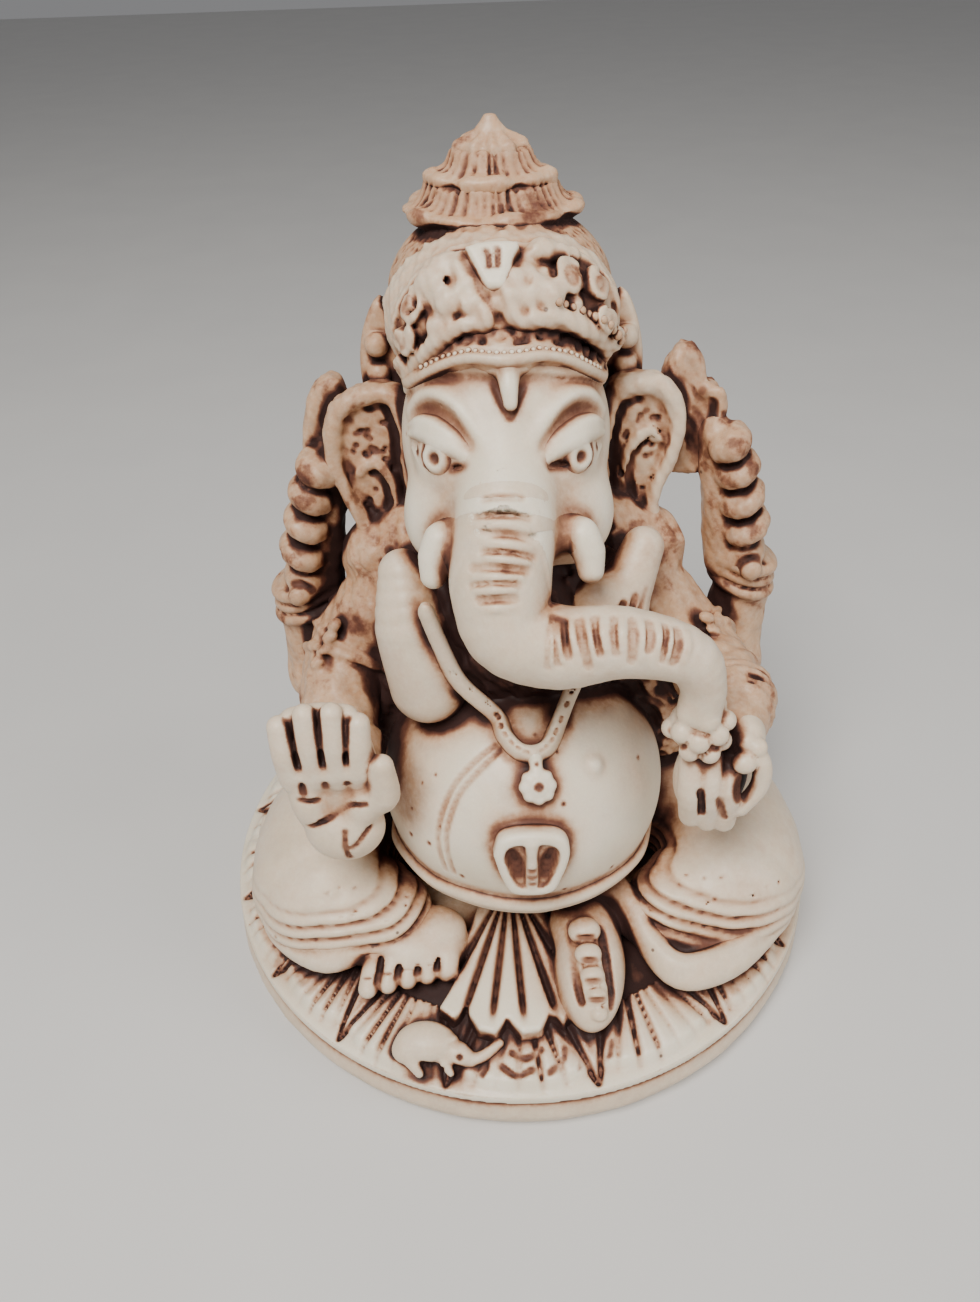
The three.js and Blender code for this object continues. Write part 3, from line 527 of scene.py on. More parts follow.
# %% Hems
right_hem = [(-34.6, -4, 13.4), (-33.6, -11, 13.0), (-31.6, -17.2, 13.1), (-28.7, -21.8, 13.2),
             (-24.4, -24.6, 13.4), (-20.6, -23.9, 13.9), (-16.8, -21.0, 14.5), (-13.2, -19.2, 15.0)]
left_hem = [(6.6, -18.3, 16.3), (10.8, -18.4, 16.4), (13.2, -20.8, 15.4), (15.0, -24.8, 13.8),
            (17.4, -27.9, 12.9), (20.6, -28.4, 12.9), (25.4, -26.3, 13.0), (30.4, -21.4, 13.0),
            (33.6, -15.5, 13.0), (35.8, -7, 13.2)]
clay["left_leg"].add(rod([(12, -19.5, 14), (17.6, -23.2, 12.6), (22, -23.8, 12.4), (27, -21.5, 12.6)],
                         [2.2, 2.8, 3.2, 3.4]), blend=1.2)
clay["right_dhoti_hem"] = Clay(
    rod(right_hem, [1.0, 1.3, 1.6, 1.7, 1.7, 1.6, 1.5, 1.3], 24),
    rod([np.array(p) + [0.3, 0.9, 1.3] for p in right_hem], [0.9, 1.2, 1.4, 1.4, 1.4, 1.3, 1.2, 1.0], 24),
    blend=0.8)
clay["left_dhoti_hem"] = Clay(
    rod(left_hem, [1.3, 1.6, 1.6, 1.5, 1.6, 1.6, 1.6, 1.5, 1.3, 1.0], 30),
    rod([np.array(p) + [-0.2, 0.9, 1.2] for p in left_hem],
        [1.0, 1.2, 1.3, 1.3, 1.3, 1.3, 1.3, 1.2, 1.0, 0.8], 30),
    blend=0.8)

# %% Feet
foot = [egg([-13.4, -23.0, SEAT + 2.5], (6.2, 4.2, 3.0), (14, 0, 10)),
        egg([-11.0, -21.4, SEAT + 3.4], (3.8, 3.2, 2.6))]
toe_tips = []
for i in range(5):
    thick = 1.45 if i == 4 else 1.2
    root, tip = np.array([-18.2 + 2.2 * i, -24.6 + 0.3 * i, SEAT + 2.9]), np.array([-19.0 + 2.35 * i,
                                                                                    -28.3 + 0.55
                                                                                    * i, SEAT + 1.9])
    toe_tips.append((root, tip))
    foot.append(rod([root, (root + tip) / 2 + [0, 0, 0.35], tip], [thick, thick, thick * 0.95]))
clay["right_foot"] = Clay(*foot, blend=0.5)
for (root, tip), (next_root, next_tip) in zip(toe_tips, toe_tips[1:]):
    slit = [(root + next_root) / 2 + [0, 0.3, 1.15], (tip + next_tip) / 2 + [0, -0.2, 1.0]]
    clay["right_foot"].cut(line(slit, 0.36), blend=0.25, wash=1.0)
for root, tip in toe_tips:
    clay["right_foot"].cut(line(near(tip, (-0.5, 0.5, 1.35), (0.5, 0.5, 1.35)), 0.1), blend=0.1, wash=0.5)
clay["left_foot"] = Clay(
    egg([7.6, -26.0, SEAT + 2.2], (4.2, 8.3, 4.4), (9, 0, -4)), egg([6.9, -21.0, SEAT + 3.2], (3.8, 4, 3.6)),
    blend=1.5)
toe_pads = [(6.9, -24.8, 16.6, 1.75), (7.1, -27.6, 16.0, 1.45), (7.4, -29.9, 15.1, 1.3),
            (7.7, -31.8, 14.0, 1.15), (7.9, -33.3, 12.8, 0.95)]
clay["left_foot"].cut(rod([(5.0, -23.6, 17.0), (5.1, -28.0, 16.4), (6.0, -32.2, 14.2)], [0.55, 0.5, 0.4]),
                      blend=0.5, wash=0.55)
clay["left_foot"].cut(rod([(8.9, -24.4, 17.2), (9.2, -28.8, 15.8), (9.5, -32.4, 13.4)], [0.5, 0.5, 0.4]),
                      blend=0.5, wash=0.75)
for px, py, pz, size in toe_pads:
    clay["left_foot"].add(egg((px, py, pz + 0.75), (size * 1.1, size * 0.98, size * 0.9)), blend=0.08)
for (px, py, pz, size), (qx, qy, qz, _) in zip(toe_pads, toe_pads[1:]):
    seam_at = [((px + qx) / 2 + a, (py + qy) / 2 - 0.1, (pz + qz) / 2 + 1.75) for a in (-1.0, 1.0)]
    clay["left_foot"].cut(line(seam_at, 0.34), blend=0.25, wash=0.5, spread=0.2)

# %% Pleated apron
APRON_TOP = np.array([-1.6, -14.0])
PLEAT_DEGREES = (-29, -19, -8.5, 3, 15, 26)


def apron_relief(x, y, z):
    angle = np.degrees(np.arctan2(x - APRON_TOP[0], APRON_TOP[1] - y))
    away = np.hypot(x - APRON_TOP[0], APRON_TOP[1] - y)
    groove = 0
    for centre in PLEAT_DEGREES:
        width = 2.6 - 1.3 * step(7, 18, away)
        groove = np.maximum(groove, np.exp(-((angle - centre) / width) ** 2))
    groove = groove * step(19.6, 16.4, away)
    return -0.85 * groove + 0 * z, groove * 0.95 + 0 * z


apron_outline = [(2.6, -17), (-5.6, -17), (-8.0, -24), (-10.6, -30.6), (-8.9, -32.0), (-7.4, -31.0),
                 (-5.9, -33.4), (-4.0, -33.9), (-2.6, -32.2), (-0.9, -34.0), (1.2, -33.7), (2.4, -31.8),
                 (4.0, -32.8), (5.4, -31.0)]
outline = [(a + 2.6, b + 25) for a, b in apron_outline]
clay["apron"] = Clay(slab(outline, 2.6, [-2.6, -25, SEAT + 1.0], (8, 0, 0), 0.5), room=1)
clay["apron"].press(apron_relief)

# %% [markdown]
# ## Four arms
#
# The back pair holds up two emblems in columns of knuckles above banded wrists. The front right hand is
# open toward the viewer. The front left one cups a heap of sweets that the trunk tip reaches into.

# %% Rear arms
for side, name in SIDES:
    spread = 24.6 + (2.4 if side > 0 else 0)
    elbow = np.array([side * spread, 2.6, CHEST[2] - 14.8])
    wrist = elbow + [side * 0.4, 0, 10.6 + (1.4 if side > 0 else 0)]
    clay[f"rear_{name}_upper_arm"] = Clay(rod(
        [[side * 10, 5, CHEST[2] + 3.2], [side * (spread - 8), 4, CHEST[2] - 7.3],
         [side * (spread - 3.4), 3, CHEST[2] - 13.8]],
        [4.2, 4.6, 4.2]))
    clay[f"rear_{name}_forearm"] = Clay(
        rod([elbow + [side * -1.2, 0, -0.4], elbow + [0, 0, 4], wrist + [0, -0.2, 0.6]], [4.1, 4.0, 3.3]),
        egg(elbow + [side * 0.4, -1.6, 2.2], (3.6, 3.2, 3.4)), blend=1.0)
    roughen(clay[f"rear_{name}_forearm"], 0.22, 4.2)
    band = mid(f"rear_{name}_bracelet")
    coils = []
    for i in range(3):
        rim = [[band[0] + 3.3 * math.cos(t), band[1] + 3.5 * math.sin(t),
                band[2] - 1.7 + 1.6 * i - side * 0.9 * math.cos(t)]
               for t in np.linspace(0, 2 * math.pi, 17)]
        coils.append(rod(rim, [0.6 if i % 2 else 0.75], 32))
    clay[f"rear_{name}_bracelet"] = Clay(egg(band, (3.5, 3.6, 3.4)), *coils, blend=0.25)
    fist_low = np.array([side * (spread - 0.4), 1.6, wrist[2] + 6.4])
    fingers = []
    for height, lean, size in ((0.3, 0.1, (2.5, 3.2, 2.3)), (3.7, -0.2, (2.9, 3.8, 1.95)),
                               (7.3, -1.1, (2.8, 3.7, 1.9)), (10.8, -2.0, (2.7, 3.4, 1.85)),
                               (13.9, -3.1, (2.5, 3.0, 1.95))):
        fingers.append(egg(fist_low + [side * (lean + 0.1), -0.3, height], size, (0, -side * 28, 0)))
    fingers.append(egg(fist_low + [side * 0.7, -3.0, -0.9], 1.25))
    palm = rod(near(fist_low, (side * -1.3, 0.9, -1.5), (side * -4.2, 1.2, 14.4)), [2.7, 1.9])
    clay[f"rear_{name}_fist"] = Clay(palm, *fingers, blend=0.35)
    for height, lean in ((2.1, 0), (5.5, -0.6), (9.0, -1.5), (12.4, -2.5)):
        sweep = near(fist_low, (side * (lean - 2.4), -3.2, height - 1.3), (side * lean, -3.7, height - 0.1),
                     (side * (lean + 2.4), -2.2, height + 1.2), (side * (lean + 3.0), 0.8, height + 1.6))
        clay[f"rear_{name}_fist"].cut(line(sweep, 0.36), blend=0.55, wash=0.4, spread=0.3)
    thumb_ring = [fist_low + [side * 0.7 + 1.75 * math.cos(t), -3.3, -0.9 + 1.75 * math.sin(t)]
                  for t in np.linspace(0.3, 5.6, 11)]
    clay[f"rear_{name}_fist"].cut(line(thumb_ring, 0.36, 22), blend=0.3, wash=0.8, spread=0.35)
    roughen(clay[f"rear_{name}_fist"], 0.16, 2.7)

# %% Emblems
AXE, NOOSE = mid("axe_blade"), mid("noose_loop")
leaf = [(1.0, 7.9), (-0.7, 6.9), (-2.0, 4.2), (-2.8, -0.5), (-2.6, -6.2), (0.4, -7.4), (2.6, -6.2),
        (2.8, 0.0), (2.8, 4.3), (2.3, 7.2)]
clay["axe_blade"] = Clay(slab(leaf, 3.2, AXE, (84, 0, 0), 1.0, 40), room=1.5)
clay["axe_blade"].cut(rod(near(AXE, (-1.3, -1.9, -2.8), (-1.2, -2.1, -0.4), (-0.5, -2.0, 2.6),
                               (0.5, -1.7, 4.6)),
                          [0.5, 0.8, 0.6, 0.4]), blend=0.4, wash=0.75, spread=0.4)
clay["axe_blade"].cut(line(near(AXE, (1.2, -2.0, -5.2), (1.0, -2.0, -1.2), (1.7, -1.7, 3.0),
                                (1.9, -1.6, 5.2)), 0.42),
                      blend=0.5, wash=0.5, spread=0.4)
roughen(clay["axe_blade"], 0.2, 2.3)
lobe = [(-1.9, 7.2), (-3.2, 5.8), (-3.8, 3.4), (-3.0, 0.0), (-2.6, -6.4), (0.4, -7.2), (1.6, -4.4),
        (2.4, -1.6), (2.7, 1.2), (1.9, 2.9), (0.9, 3.2), (0.5, 5.2), (-0.6, 6.9)]
clay["noose_loop"] = Clay(
    slab(lobe, 3.0, NOOSE, (84, 0, 0), 0.9, 52),
    rod(near(NOOSE, (0.4, -1.2, 2.4), (1.9, -1.4, 2.2), (2.4, -1.5, 0.0), (1.4, -1.5, -2.4)),
        [0.7, 0.8, 0.8, 0.7]),
    blend=0.4, room=1.5)
clay["noose_loop"].cut(rod(near(NOOSE, (1.3, -2.2, 1.3), (1.5, -2.3, -0.9)), [0.55, 0.5]), blend=0.3,
                       wash=0.9, spread=0.4)
clay["noose_loop"].cut(line(near(NOOSE, (0.2, -1.9, 3.0), (-0.4, -2.1, 0.2), (-0.4, -2.1, -3.8)), 0.4),
                       blend=0.5, wash=0.7, spread=0.4)
clay["noose_loop"].cut(line(near(NOOSE, (-2.6, -1.8, 4.4), (-1.6, -1.8, 2.6), (-1.6, -2.0, -1.0)), 0.36),
                       blend=0.5, wash=0.4, spread=0.4)
roughen(clay["noose_loop"], 0.22, 2.1)

# %% Open front hand
PALM = mid("front_right_palm")
palm_shapes = [
    egg(PALM + [0.1, 0.4, 1.6], (5.0, 2.6, 6.6), (-8, 0, 0)),
    egg(PALM + [0.4, -1.0, -3.4], (4.4, 3.2, 4.1), (-8, 0, 0)),
    egg(PALM + [3.0, -1.0, 0.6], (2.1, 2.4, 3.6), (-8, 18, 0)),
    egg(PALM + [-2.9, -0.9, 1.2], (2.1, 2.2, 4.6), (-8, -6, 0)),
    rod(near(PALM, (-3.6, -0.8, 4.9), (3.0, -0.8, 5.4)), [1.7, 1.7])]
clay["front_right_palm"] = Clay(*palm_shapes, blend=0.8)
for crease in ([(-3.0, -1.2), (-0.6, -0.2), (1.6, 1.4), (3.4, 2.0)], [(0.9, -1.4), (0.7, -3.4), (1.0, -5.6)],
               [(-3.6, 2.6), (-1.6, 2.2)], [(3.4, -1.6), (2.2, -3.0), (1.4, -3.6)]):
    marks = [touch(palm_shapes, PALM + [u, -9, v], (0, 1, 0)) for u, v in crease]
    clay["front_right_palm"].cut(line(marks, 0.26), blend=0.2, wash=0.7, spread=0.15)
FINGERS = mid("front_right_fingers")
root_z, tip_z = low("front_right_fingers")[2] + 0.6, high("front_right_fingers")[2]
fingers = []
finger_roots, finger_tips = [], []
for i, (across, drop, lean) in enumerate([(-4.1, 1.5, -0.5), (-1.5, 0.05, -0.1), (1.05, 0.0, 0.25),
                                          (3.4, 1.5, 0.7)]):
    root = np.array([FINGERS[0] + across * 0.93, PALM[1] - 0.9, root_z])
    tip = np.array([FINGERS[0] + across + lean * 0.5, PALM[1] - 0.5, tip_z - 1.3 - drop])
    finger_roots.append(root)
    finger_tips.append(tip)
    bend = root * 0.45 + tip * 0.55 + [0, -0.5, 0]
    fingers.append(rod([root, bend, tip], [1.42, 1.36, 1.2], 8))
web = slab([(-4.9, -5.5), (-4.6, 2.2), (-2.2, 3.9), (1.6, 4.0), (3.9, 2.4), (4.2, -5.5)], 2.0,
           FINGERS + [0, 0.9, 0], (88, 0, 0), 0.8, 24)
clay["front_right_fingers"] = Clay(*fingers, web, blend=0.25)
for i in range(3):
    a = (finger_roots[i] + finger_roots[i + 1]) / 2 + [0, -0.9, 0.6]
    b = (finger_tips[i] + finger_tips[i + 1]) / 2 + [0, -0.9, -0.2]
    clay["front_right_fingers"].cut(line([a, b * 0.5 + a * 0.5], 0.38), blend=0.3, wash=0.8, spread=0.25)
    clay["front_right_palm"].cut(line(near(a, (0, -0.8, -1.2), (0, -0.5, 0)), 0.34), wash=0.7, spread=0.25)
THUMB = mid("front_right_thumb")
clay["front_right_thumb"] = Clay(rod([PALM + [3.6, -0.9, 0.6], THUMB + [0.5, -0.6, -0.2],
                                      THUMB + [0.6, -0.6, 3.9]], [1.9, 1.7, 1.25], 8))

# %% Front arms, with heavy bracelets
right_route = [(-13.5, -1, 51.8), (-19.9, -4, 43.8), (-20.8, -12.6, 38.6), (-20, -17.6, 37.6)]
left_route = [(13.5, -1, 51.8), (20.9, -5, 43.8), (23, -13.8, 44.1), (22, -18.4, 43.7)]
for name, route, tilt in (("right", right_route, -1), ("left", left_route, 1)):
    piece = Clay(rod(route, [5.2, 4.8, 4.5, 4.2], 14))
    path = smooth_path(route, 40)
    for at, size, fat in ((27, 4.5, 0.5), (29, 4.5, 0.6), (31, 4.4, 0.5), (33, 4.3, 0.5), (11, 4.9, 0.5),
                          (14, 4.9, 0.55)):
        way = unit(path[at + 1] - path[at - 1])
        a = unit(np.cross(way, [0, 0, 1]))
        b = np.cross(way, a)
        piece.add(rod(hoop(path[at], size, a, b), [fat], 24), blend=0.3)
    for k in range(7):
        at = path[12] + [tilt * (3.2 - 1.5 * abs(k - 3) * 0.5), -4.6 + 0.5 * abs(k - 3), -2.6 + 1.4 * k]
        piece.add(egg(at, (1.0, 0.7, 0.6), (0, tilt * 30, 0)), blend=0.5)
    roughen(piece, 0.24, 3.6)
    clay[f"front_{name}_arm"] = piece

# %% Cupped hand and sweets
CUPPED = mid("front_left_hand")
hand = [egg(CUPPED + [-0.1, 0.5, -1.6], (3.9, 3.4, 5.4), (-10, 10, 0)),
        egg(CUPPED + [3.0, 0.4, 3.6], (2.0, 2.2, 2.4))]
for across, tall, low_at in ((-2.9, 3.2, -4.8), (-0.9, 2.8, -5.6), (1.1, 1.2, -5.8)):
    hand.append(rod(near(CUPPED, (across, -1.6, tall), (across * 1.02, -3.0, -0.6),
                         (across * 0.9 + 0.2, -2.4, low_at)), [1.3, 1.35, 1.3]))
hand.append(rod(near(CUPPED, (2.6, -1.2, 4.6), (4.2, -2.2, 2.4), (4.3, -2.6, -0.6), (2.6, -3.0, -3.4)),
                [1.0, 1.05, 1.0, 0.9], 12))
clay["front_left_hand"] = Clay(*hand, blend=0.35)
for a, b in (((-2.2, -3.9, 0.2), (-1.7, -3.8, -3.0)), ((-0.2, -4.3, -0.8), (0.7, -4.0, -3.8))):
    clay["front_left_hand"].cut(line([CUPPED + a, CUPPED + b], 0.34), blend=0.3, wash=0.8, spread=0.15)
clay["front_left_hand"].cut(egg(CUPPED + (2.4, -4.0, 0.4), (1.1, 1.3, 2.0)), blend=0.4, wash=0.9, spread=0.5)
clay["front_left_hand"].add(egg(CUPPED + (2.3, -2.6, 2.9), (1.3, 1.2, 1.2)),
                            egg(CUPPED + (3.6, -1.8, 4.2), 1.1), blend=0.15)
SWEETS = mid("sweet")
pile = [egg(SWEETS + [0, 0.2, -0.2], (3.0, 2.8, 2.6))]
for dx, dy, dz, size in ((-2.0, -1.5, 0.4, 1.15), (-0.4, -2.3, -0.2, 1.2), (1.5, -2.0, 0.4, 1.15),
                         (2.5, -0.6, 1.0, 1.1), (0.4, -1.6, 1.9, 1.2), (-1.3, -0.8, 2.0, 1.1),
                         (-2.6, 0.3, -0.6, 1.1), (0.9, -2.2, -1.9, 1.1), (-1.1, -2.0, -1.7, 1.1),
                         (2.2, -1.1, -1.2, 1.1), (1.6, 0.6, 2.2, 1.1)):
    pile.append(egg(SWEETS + [dx, dy, dz], size))
clay["sweet"] = Clay(*pile, blend=0.18)

# %% Pectorals
clay["right_pectoral"] = Clay(rod([(-12, -9.3, 58.6), (-11.4, -11.4, 53.1), (-10, -12.4, 45.9)],
                                  [2.6, 3.9, 4.3], 8),
                              egg((-9.6, -13.6, 48.6), (3.4, 2.6, 4.6)), blend=1.2)
clay["left_pectoral"] = Clay(egg((9.6, -10.6, 51.6), (4.5, 4, 7.2), (8, -12, 0)),
                             rod([(13.4, -8.0, 60.0), (11.0, -10.6, 55.0)], [2.2, 3.0]), blend=1.2)
for k in range(3):
    spine = [(13.6 - 1.4 * k, -12.2 - 0.6 * k, 57.4 - 0.4 * k),
             (11.4 - 1.5 * k, -14.3 - 0.2 * k, 53.0 - 0.6 * k), (8.4 - k, -14.2, 49.8 - k)]
    clay["left_pectoral"].cut(line(spine, 0.36), blend=0.3, wash=0.5, spread=0.4)

# %% [markdown]
# ## Elephant head
#
# The face is smooth and wiped almost white. Lids and brows are thin rods laid on it, and every line
# between them is pressed in. The trunk drops, turns to one side and ends in the sweets. Its rings are
# short grooves with a low ridge between each two.


# %% Head
def on_head(side, rise, lift=0.0):
    return on_egg(HEAD, HEAD_R, side, rise, lift)


trunk_route = [HEAD + [-0.4, -8.0, 1.4], HEAD + [-0.5, -12.9, -2.6], (-1.9, -18.6, 63.4), (-1.1, -20.6, 59.2),
               (3.5, -21.6, 57.6), (9.3, -22.3, 58.5), (15.6, -22.8, 57.0), (17.6, -22.8, 53.4),
               (17.6, -22.8, 50.2)]
trunk_size = [4.0, 4.6, 4.7, 4.45, 4.1, 3.5, 2.8, 2.3, 2.2]
trunk_top = rod(trunk_route[:3], trunk_size[:3])
clay["head"] = Clay(
    egg(HEAD, HEAD_R), egg(HEAD + [0, -3.5, -3.2], (9.3, 8.6, 9.0)),
    egg(HEAD + [-6.1, -6.4, -5.6], (4.5, 4.8, 5.6)), egg(HEAD + [6.1, -6.4, -5.6], (4.5, 4.8, 5.6)),
    egg(HEAD + [0, -8.2, -4.6], (8.0, 4.8, 6.4)), blend=1.6)
clay["head"].add(trunk_top, blend=2.2)
brows = {-1: [(-71, 22), (-60, 31), (-46, 35), (-30, 31), (-15, 20)],
         1: [(69, 20), (57, 29), (42, 33), (27, 29), (12, 19)]}
sockets = {-1: [(-62, 20), (-50, 27), (-36, 27), (-22, 18.5)],
           1: [(60, 19), (48, 25.5), (34, 25.5), (20, 17.5)]}
upper = {-1: [(-62, 13.5), (-52, 17.5), (-42, 18.5), (-30, 16.5), (-19, 12.0)],
         1: [(60, 12), (50, 16), (40, 17), (28, 15.5), (17, 11.0)]}
lower = {-1: [(-59, 8), (-50, 4.0), (-40, 2.0), (-29, 4.0), (-19, 10.0)],
         1: [(57, 7), (48, 3.0), (38, 1.0), (27, 3.5), (17, 9.5)]}
for side in (-1, 1):
    clay["head"].add(rod(laid(on_head, brows[side], -0.3), [0.4, 1.05, 1.15, 1.05, 0.5], 18), blend=1.1)
    clay["head"].cut(rod(laid(on_head, sockets[side], 0.75), [0.5, 1.0, 1.0, 0.6], 14), blend=1.0, wash=0.05,
                     spread=0.4)
    clay["head"].add(rod(laid(on_head, lower[side], -0.45, -3.2), [0.3, 0.8, 0.9, 0.8, 0.4], 16), blend=0.8)
fillet = [(-80, 28), (-68, 36), (-51, 46.5), (-28, 51), (-4, 51.5), (20, 50.5), (38, 46.5), (58, 40),
          (80, 30)]
clay["head"].add(rod(laid(on_head, fillet, 0.1), [0.6], 48), blend=0.3)
seam = [(-10, 46.6), (-6, 41), (-1.5, 35), (1.5, 30.5), (5, 36), (9, 42.5), (13, 45.8)]
clay["head"].cut(line(laid(on_head, seam, 0.14), 0.28, 60), blend=0.25, wash=0.3, spread=0.2)
clay["head"].cut(rod([on_head(-7, 44, 0.15), on_head(-2, 36, 0.1), on_head(1.5, 31, 0.1)], [0.5, 0.45, 0.3]),
                 rod([on_head(10, 43, 0.15), on_head(5, 37, 0.1), on_head(1.5, 31, 0.1)], [0.5, 0.45, 0.3]),
                 blend=0.3, wash=0.4, spread=0.2)

# %% Eyes and lids
for side, name, iris in ((-1, "right", (-40, 10.0)), (1, "left", (38.5, 8.8))):
    centre = on_head(iris[0], iris[1], -1.5)
    ball = egg(centre, (3.0, 2.3, 2.0), (0, 0, iris[0] * 0.9))
    seen = on_egg(centre, (2.3, 2.3, 2.0), iris[0] * 0.8, 12, 0.35)
    out = unit(seen - centre)
    a = unit(np.cross(out, [0, 0, 1]))
    b = np.cross(a, out)
    iris_ring, rim = ([touch([ball], p, -out) for p in hoop(seen + out, size, a, b)] for size in (0.98, 1.5))
    piece = Clay(ball)
    piece.cut(line(rim, 0.34), blend=0.2, wash=0.85, spread=0.3)
    piece.add(rod(iris_ring, [0.42], 24), blend=0.1)
    piece.cut(egg(touch([ball], seen + out, -out) + out * 0.1, 0.5), blend=0.1, wash=0.8, spread=0.2)
    corner = side * 22
    piece.cut(rod([on_head(side * 31, 7.0, 0.0), on_head(corner, 9.5, 0.1)], [0.5, 0.7]), blend=0.2, wash=1.0,
              spread=0.4)
    piece.cut(rod([on_head(side * 52, 8.5, 0.1), on_head(side * 58, 10, 0.1)], [0.4, 0.3]), blend=0.2,
              wash=0.9, spread=0.3)
    clay[f"{name}_eye"] = piece
    clay["head"].cut(rod([on_head(side * 29, 7.2, 0.2), on_head(side * 20, 9.5, 0.2),
                          on_head(side * 16, 11.5, 0.2)], [0.5, 0.75, 0.4]),
                     blend=0.3, wash=0.95, spread=0.5)
    clay["head"].cut(line(laid(on_head, lower[side], 0.05, -0.6), 0.3, 16), blend=0.25, wash=0.5, spread=0.35)
    lid = laid(on_head, upper[side], 0.25)
    under = laid(on_head, lower[side], -0.05)
    clay[f"{name}_eyelid"] = Clay(
        rod(lid, [0.3, 0.75, 0.9, 0.75, 0.35], 18),
        rod([p + [0, 0.5, 0.7] for p in lid], [0.25, 0.8, 0.95, 0.75, 0.25], 18),
        rod(under, [0.25, 0.42, 0.5, 0.42, 0.3], 16), blend=0.35)

# %% Trunk
trunk = Clay(rod(trunk_route, trunk_size, 30), room=1.5)
for side in (-1, 1):
    tip = mid("right_tusk" if side < 0 else "left_tusk")
    trunk.add(rod([(HEAD[0] + side * 4.4, -14.8, 66.2), tip + [-side * 1.6, 1.4, 1.6],
                   tip + [-side * 0.6, 0.6, 1.2]], [1.9, 1.7, 1.5]), blend=1.6)
path = smooth_path(trunk_route, 120)
size = np.interp(np.linspace(0, 1, 121), np.linspace(0, 1, len(trunk_size)), trunk_size)
length = np.r_[0, np.cumsum(np.linalg.norm(np.diff(path, axis=0), axis=1))]


def trunk_hoop(at, start, stop, drop=0.0, lift=0.12):
    """An arc on the trunk's skin at a distance along it, from start to stop degrees round it."""
    i = int(np.clip(np.searchsorted(length, at), 1, 119))
    way = unit(path[i + 1] - path[i - 1])
    front = unit(np.array([0, -1, 0]) + way * way[1])
    across = np.cross(way, front)
    arc = []
    for t in np.radians(np.linspace(start, stop, 7)):
        dip = drop * (1 - np.cos(t))
        arc.append(path[i] + (size[i] + lift) * (front * math.cos(t) + across * math.sin(t)) - way * dip)
    return arc


FIRST_RING, RING_STEP, BARE_TIP = 5.4, 1.3, 9
UPRIGHT_END, SIDEWAYS_START = 13.5, 20.5
ring_at, count = FIRST_RING, 2
while ring_at < length[-1] - BARE_TIP:
    upright = ring_at < UPRIGHT_END
    if upright or ring_at > SIDEWAYS_START:
        start, stop = -78, -18 + 12 * math.sin(2.3 * count)
        if upright:
            start, stop = -24 + 8 * math.sin(count), 34 + 7 * math.cos(2 * count)
        bend = -0.5 if upright else 0.3
        ring_wash = (0.04 + 0.12 * min(ring_at / 9, 1)) if upright else 0.3
        for piece in ([trunk, clay["head"]] if upright else [trunk]):
            piece.cut(line(trunk_hoop(ring_at, start, stop, bend), 0.4), blend=0.35,
                      wash=ring_wash, spread=0.12)
            piece.add(rod(trunk_hoop(ring_at + 0.62, start + 4, stop - 4, bend, -0.22), [0.35, 0.56, 0.35]),
                      blend=0.25)
    ring_at += RING_STEP + 0.16 * math.sin(count * 1.7)
    count += 1
clay["trunk"] = trunk

# %% Tusks
for side, name in SIDES:
    t = mid(f"{name}_tusk")
    clay[f"{name}_tusk"] = Clay(rod(near(t, (-side * 0.6, 0.7, 1.9), (0, 0.2, 0.2), (side * 0.2, -0.5, -1.5)),
                                    [1.5, 1.6, 1.3]))

# %% Ears
ear_lines = {
    "right": ([(-3.2, 8.6), (-0.4, 10.0), (3.4, 9.9), (4.5, 8.4), (4.4, 2.0), (3.8, -5.4), (1.8, -8.6),
               (0.2, -10.0), (-1.2, -8.2), (-3.0, -3.4), (-4.4, 2.0), (-4.4, 6.0)],
              [(-2.6, 5.4), (-1.6, 7.2), (0.6, 8.1), (2.4, 8.0), (3.2, 5.4), (3.0, 0.6), (3.2, -3.6),
               (1.4, -7.6), (0.2, -7.4), (-1.0, -4.6), (-2.6, -0.6), (-3.0, 2.6)],
              [(-1.9, 0.6), (0.0, 1.6), (1.6, 0.2), (1.9, -2.8), (0.9, -5.8)]),
    "left": ([(3.4, 8.6), (1.2, 10.2), (-2.6, 9.9), (-4.4, 8.0), (-4.4, 2.0), (-3.8, -4.6), (-1.8, -8.4),
              (1.0, -10.0), (2.2, -7.6), (2.4, -3.0), (3.9, 1.6), (4.3, 6.0)],
             [(2.6, 5.2), (1.6, 7.4), (-0.8, 8.0), (-2.6, 6.8), (-3.2, 3.4), (-2.9, -1.4), (-2.0, -4.6),
              (-0.4, -6.6), (1.0, -6.0), (1.2, -3.2), (2.4, 0.4), (2.9, 3.0)],
             [(2.2, 3.2), (0.6, 4.2), (-0.9, 2.6), (-1.0, -0.6), (0.3, -3.6)]),
}
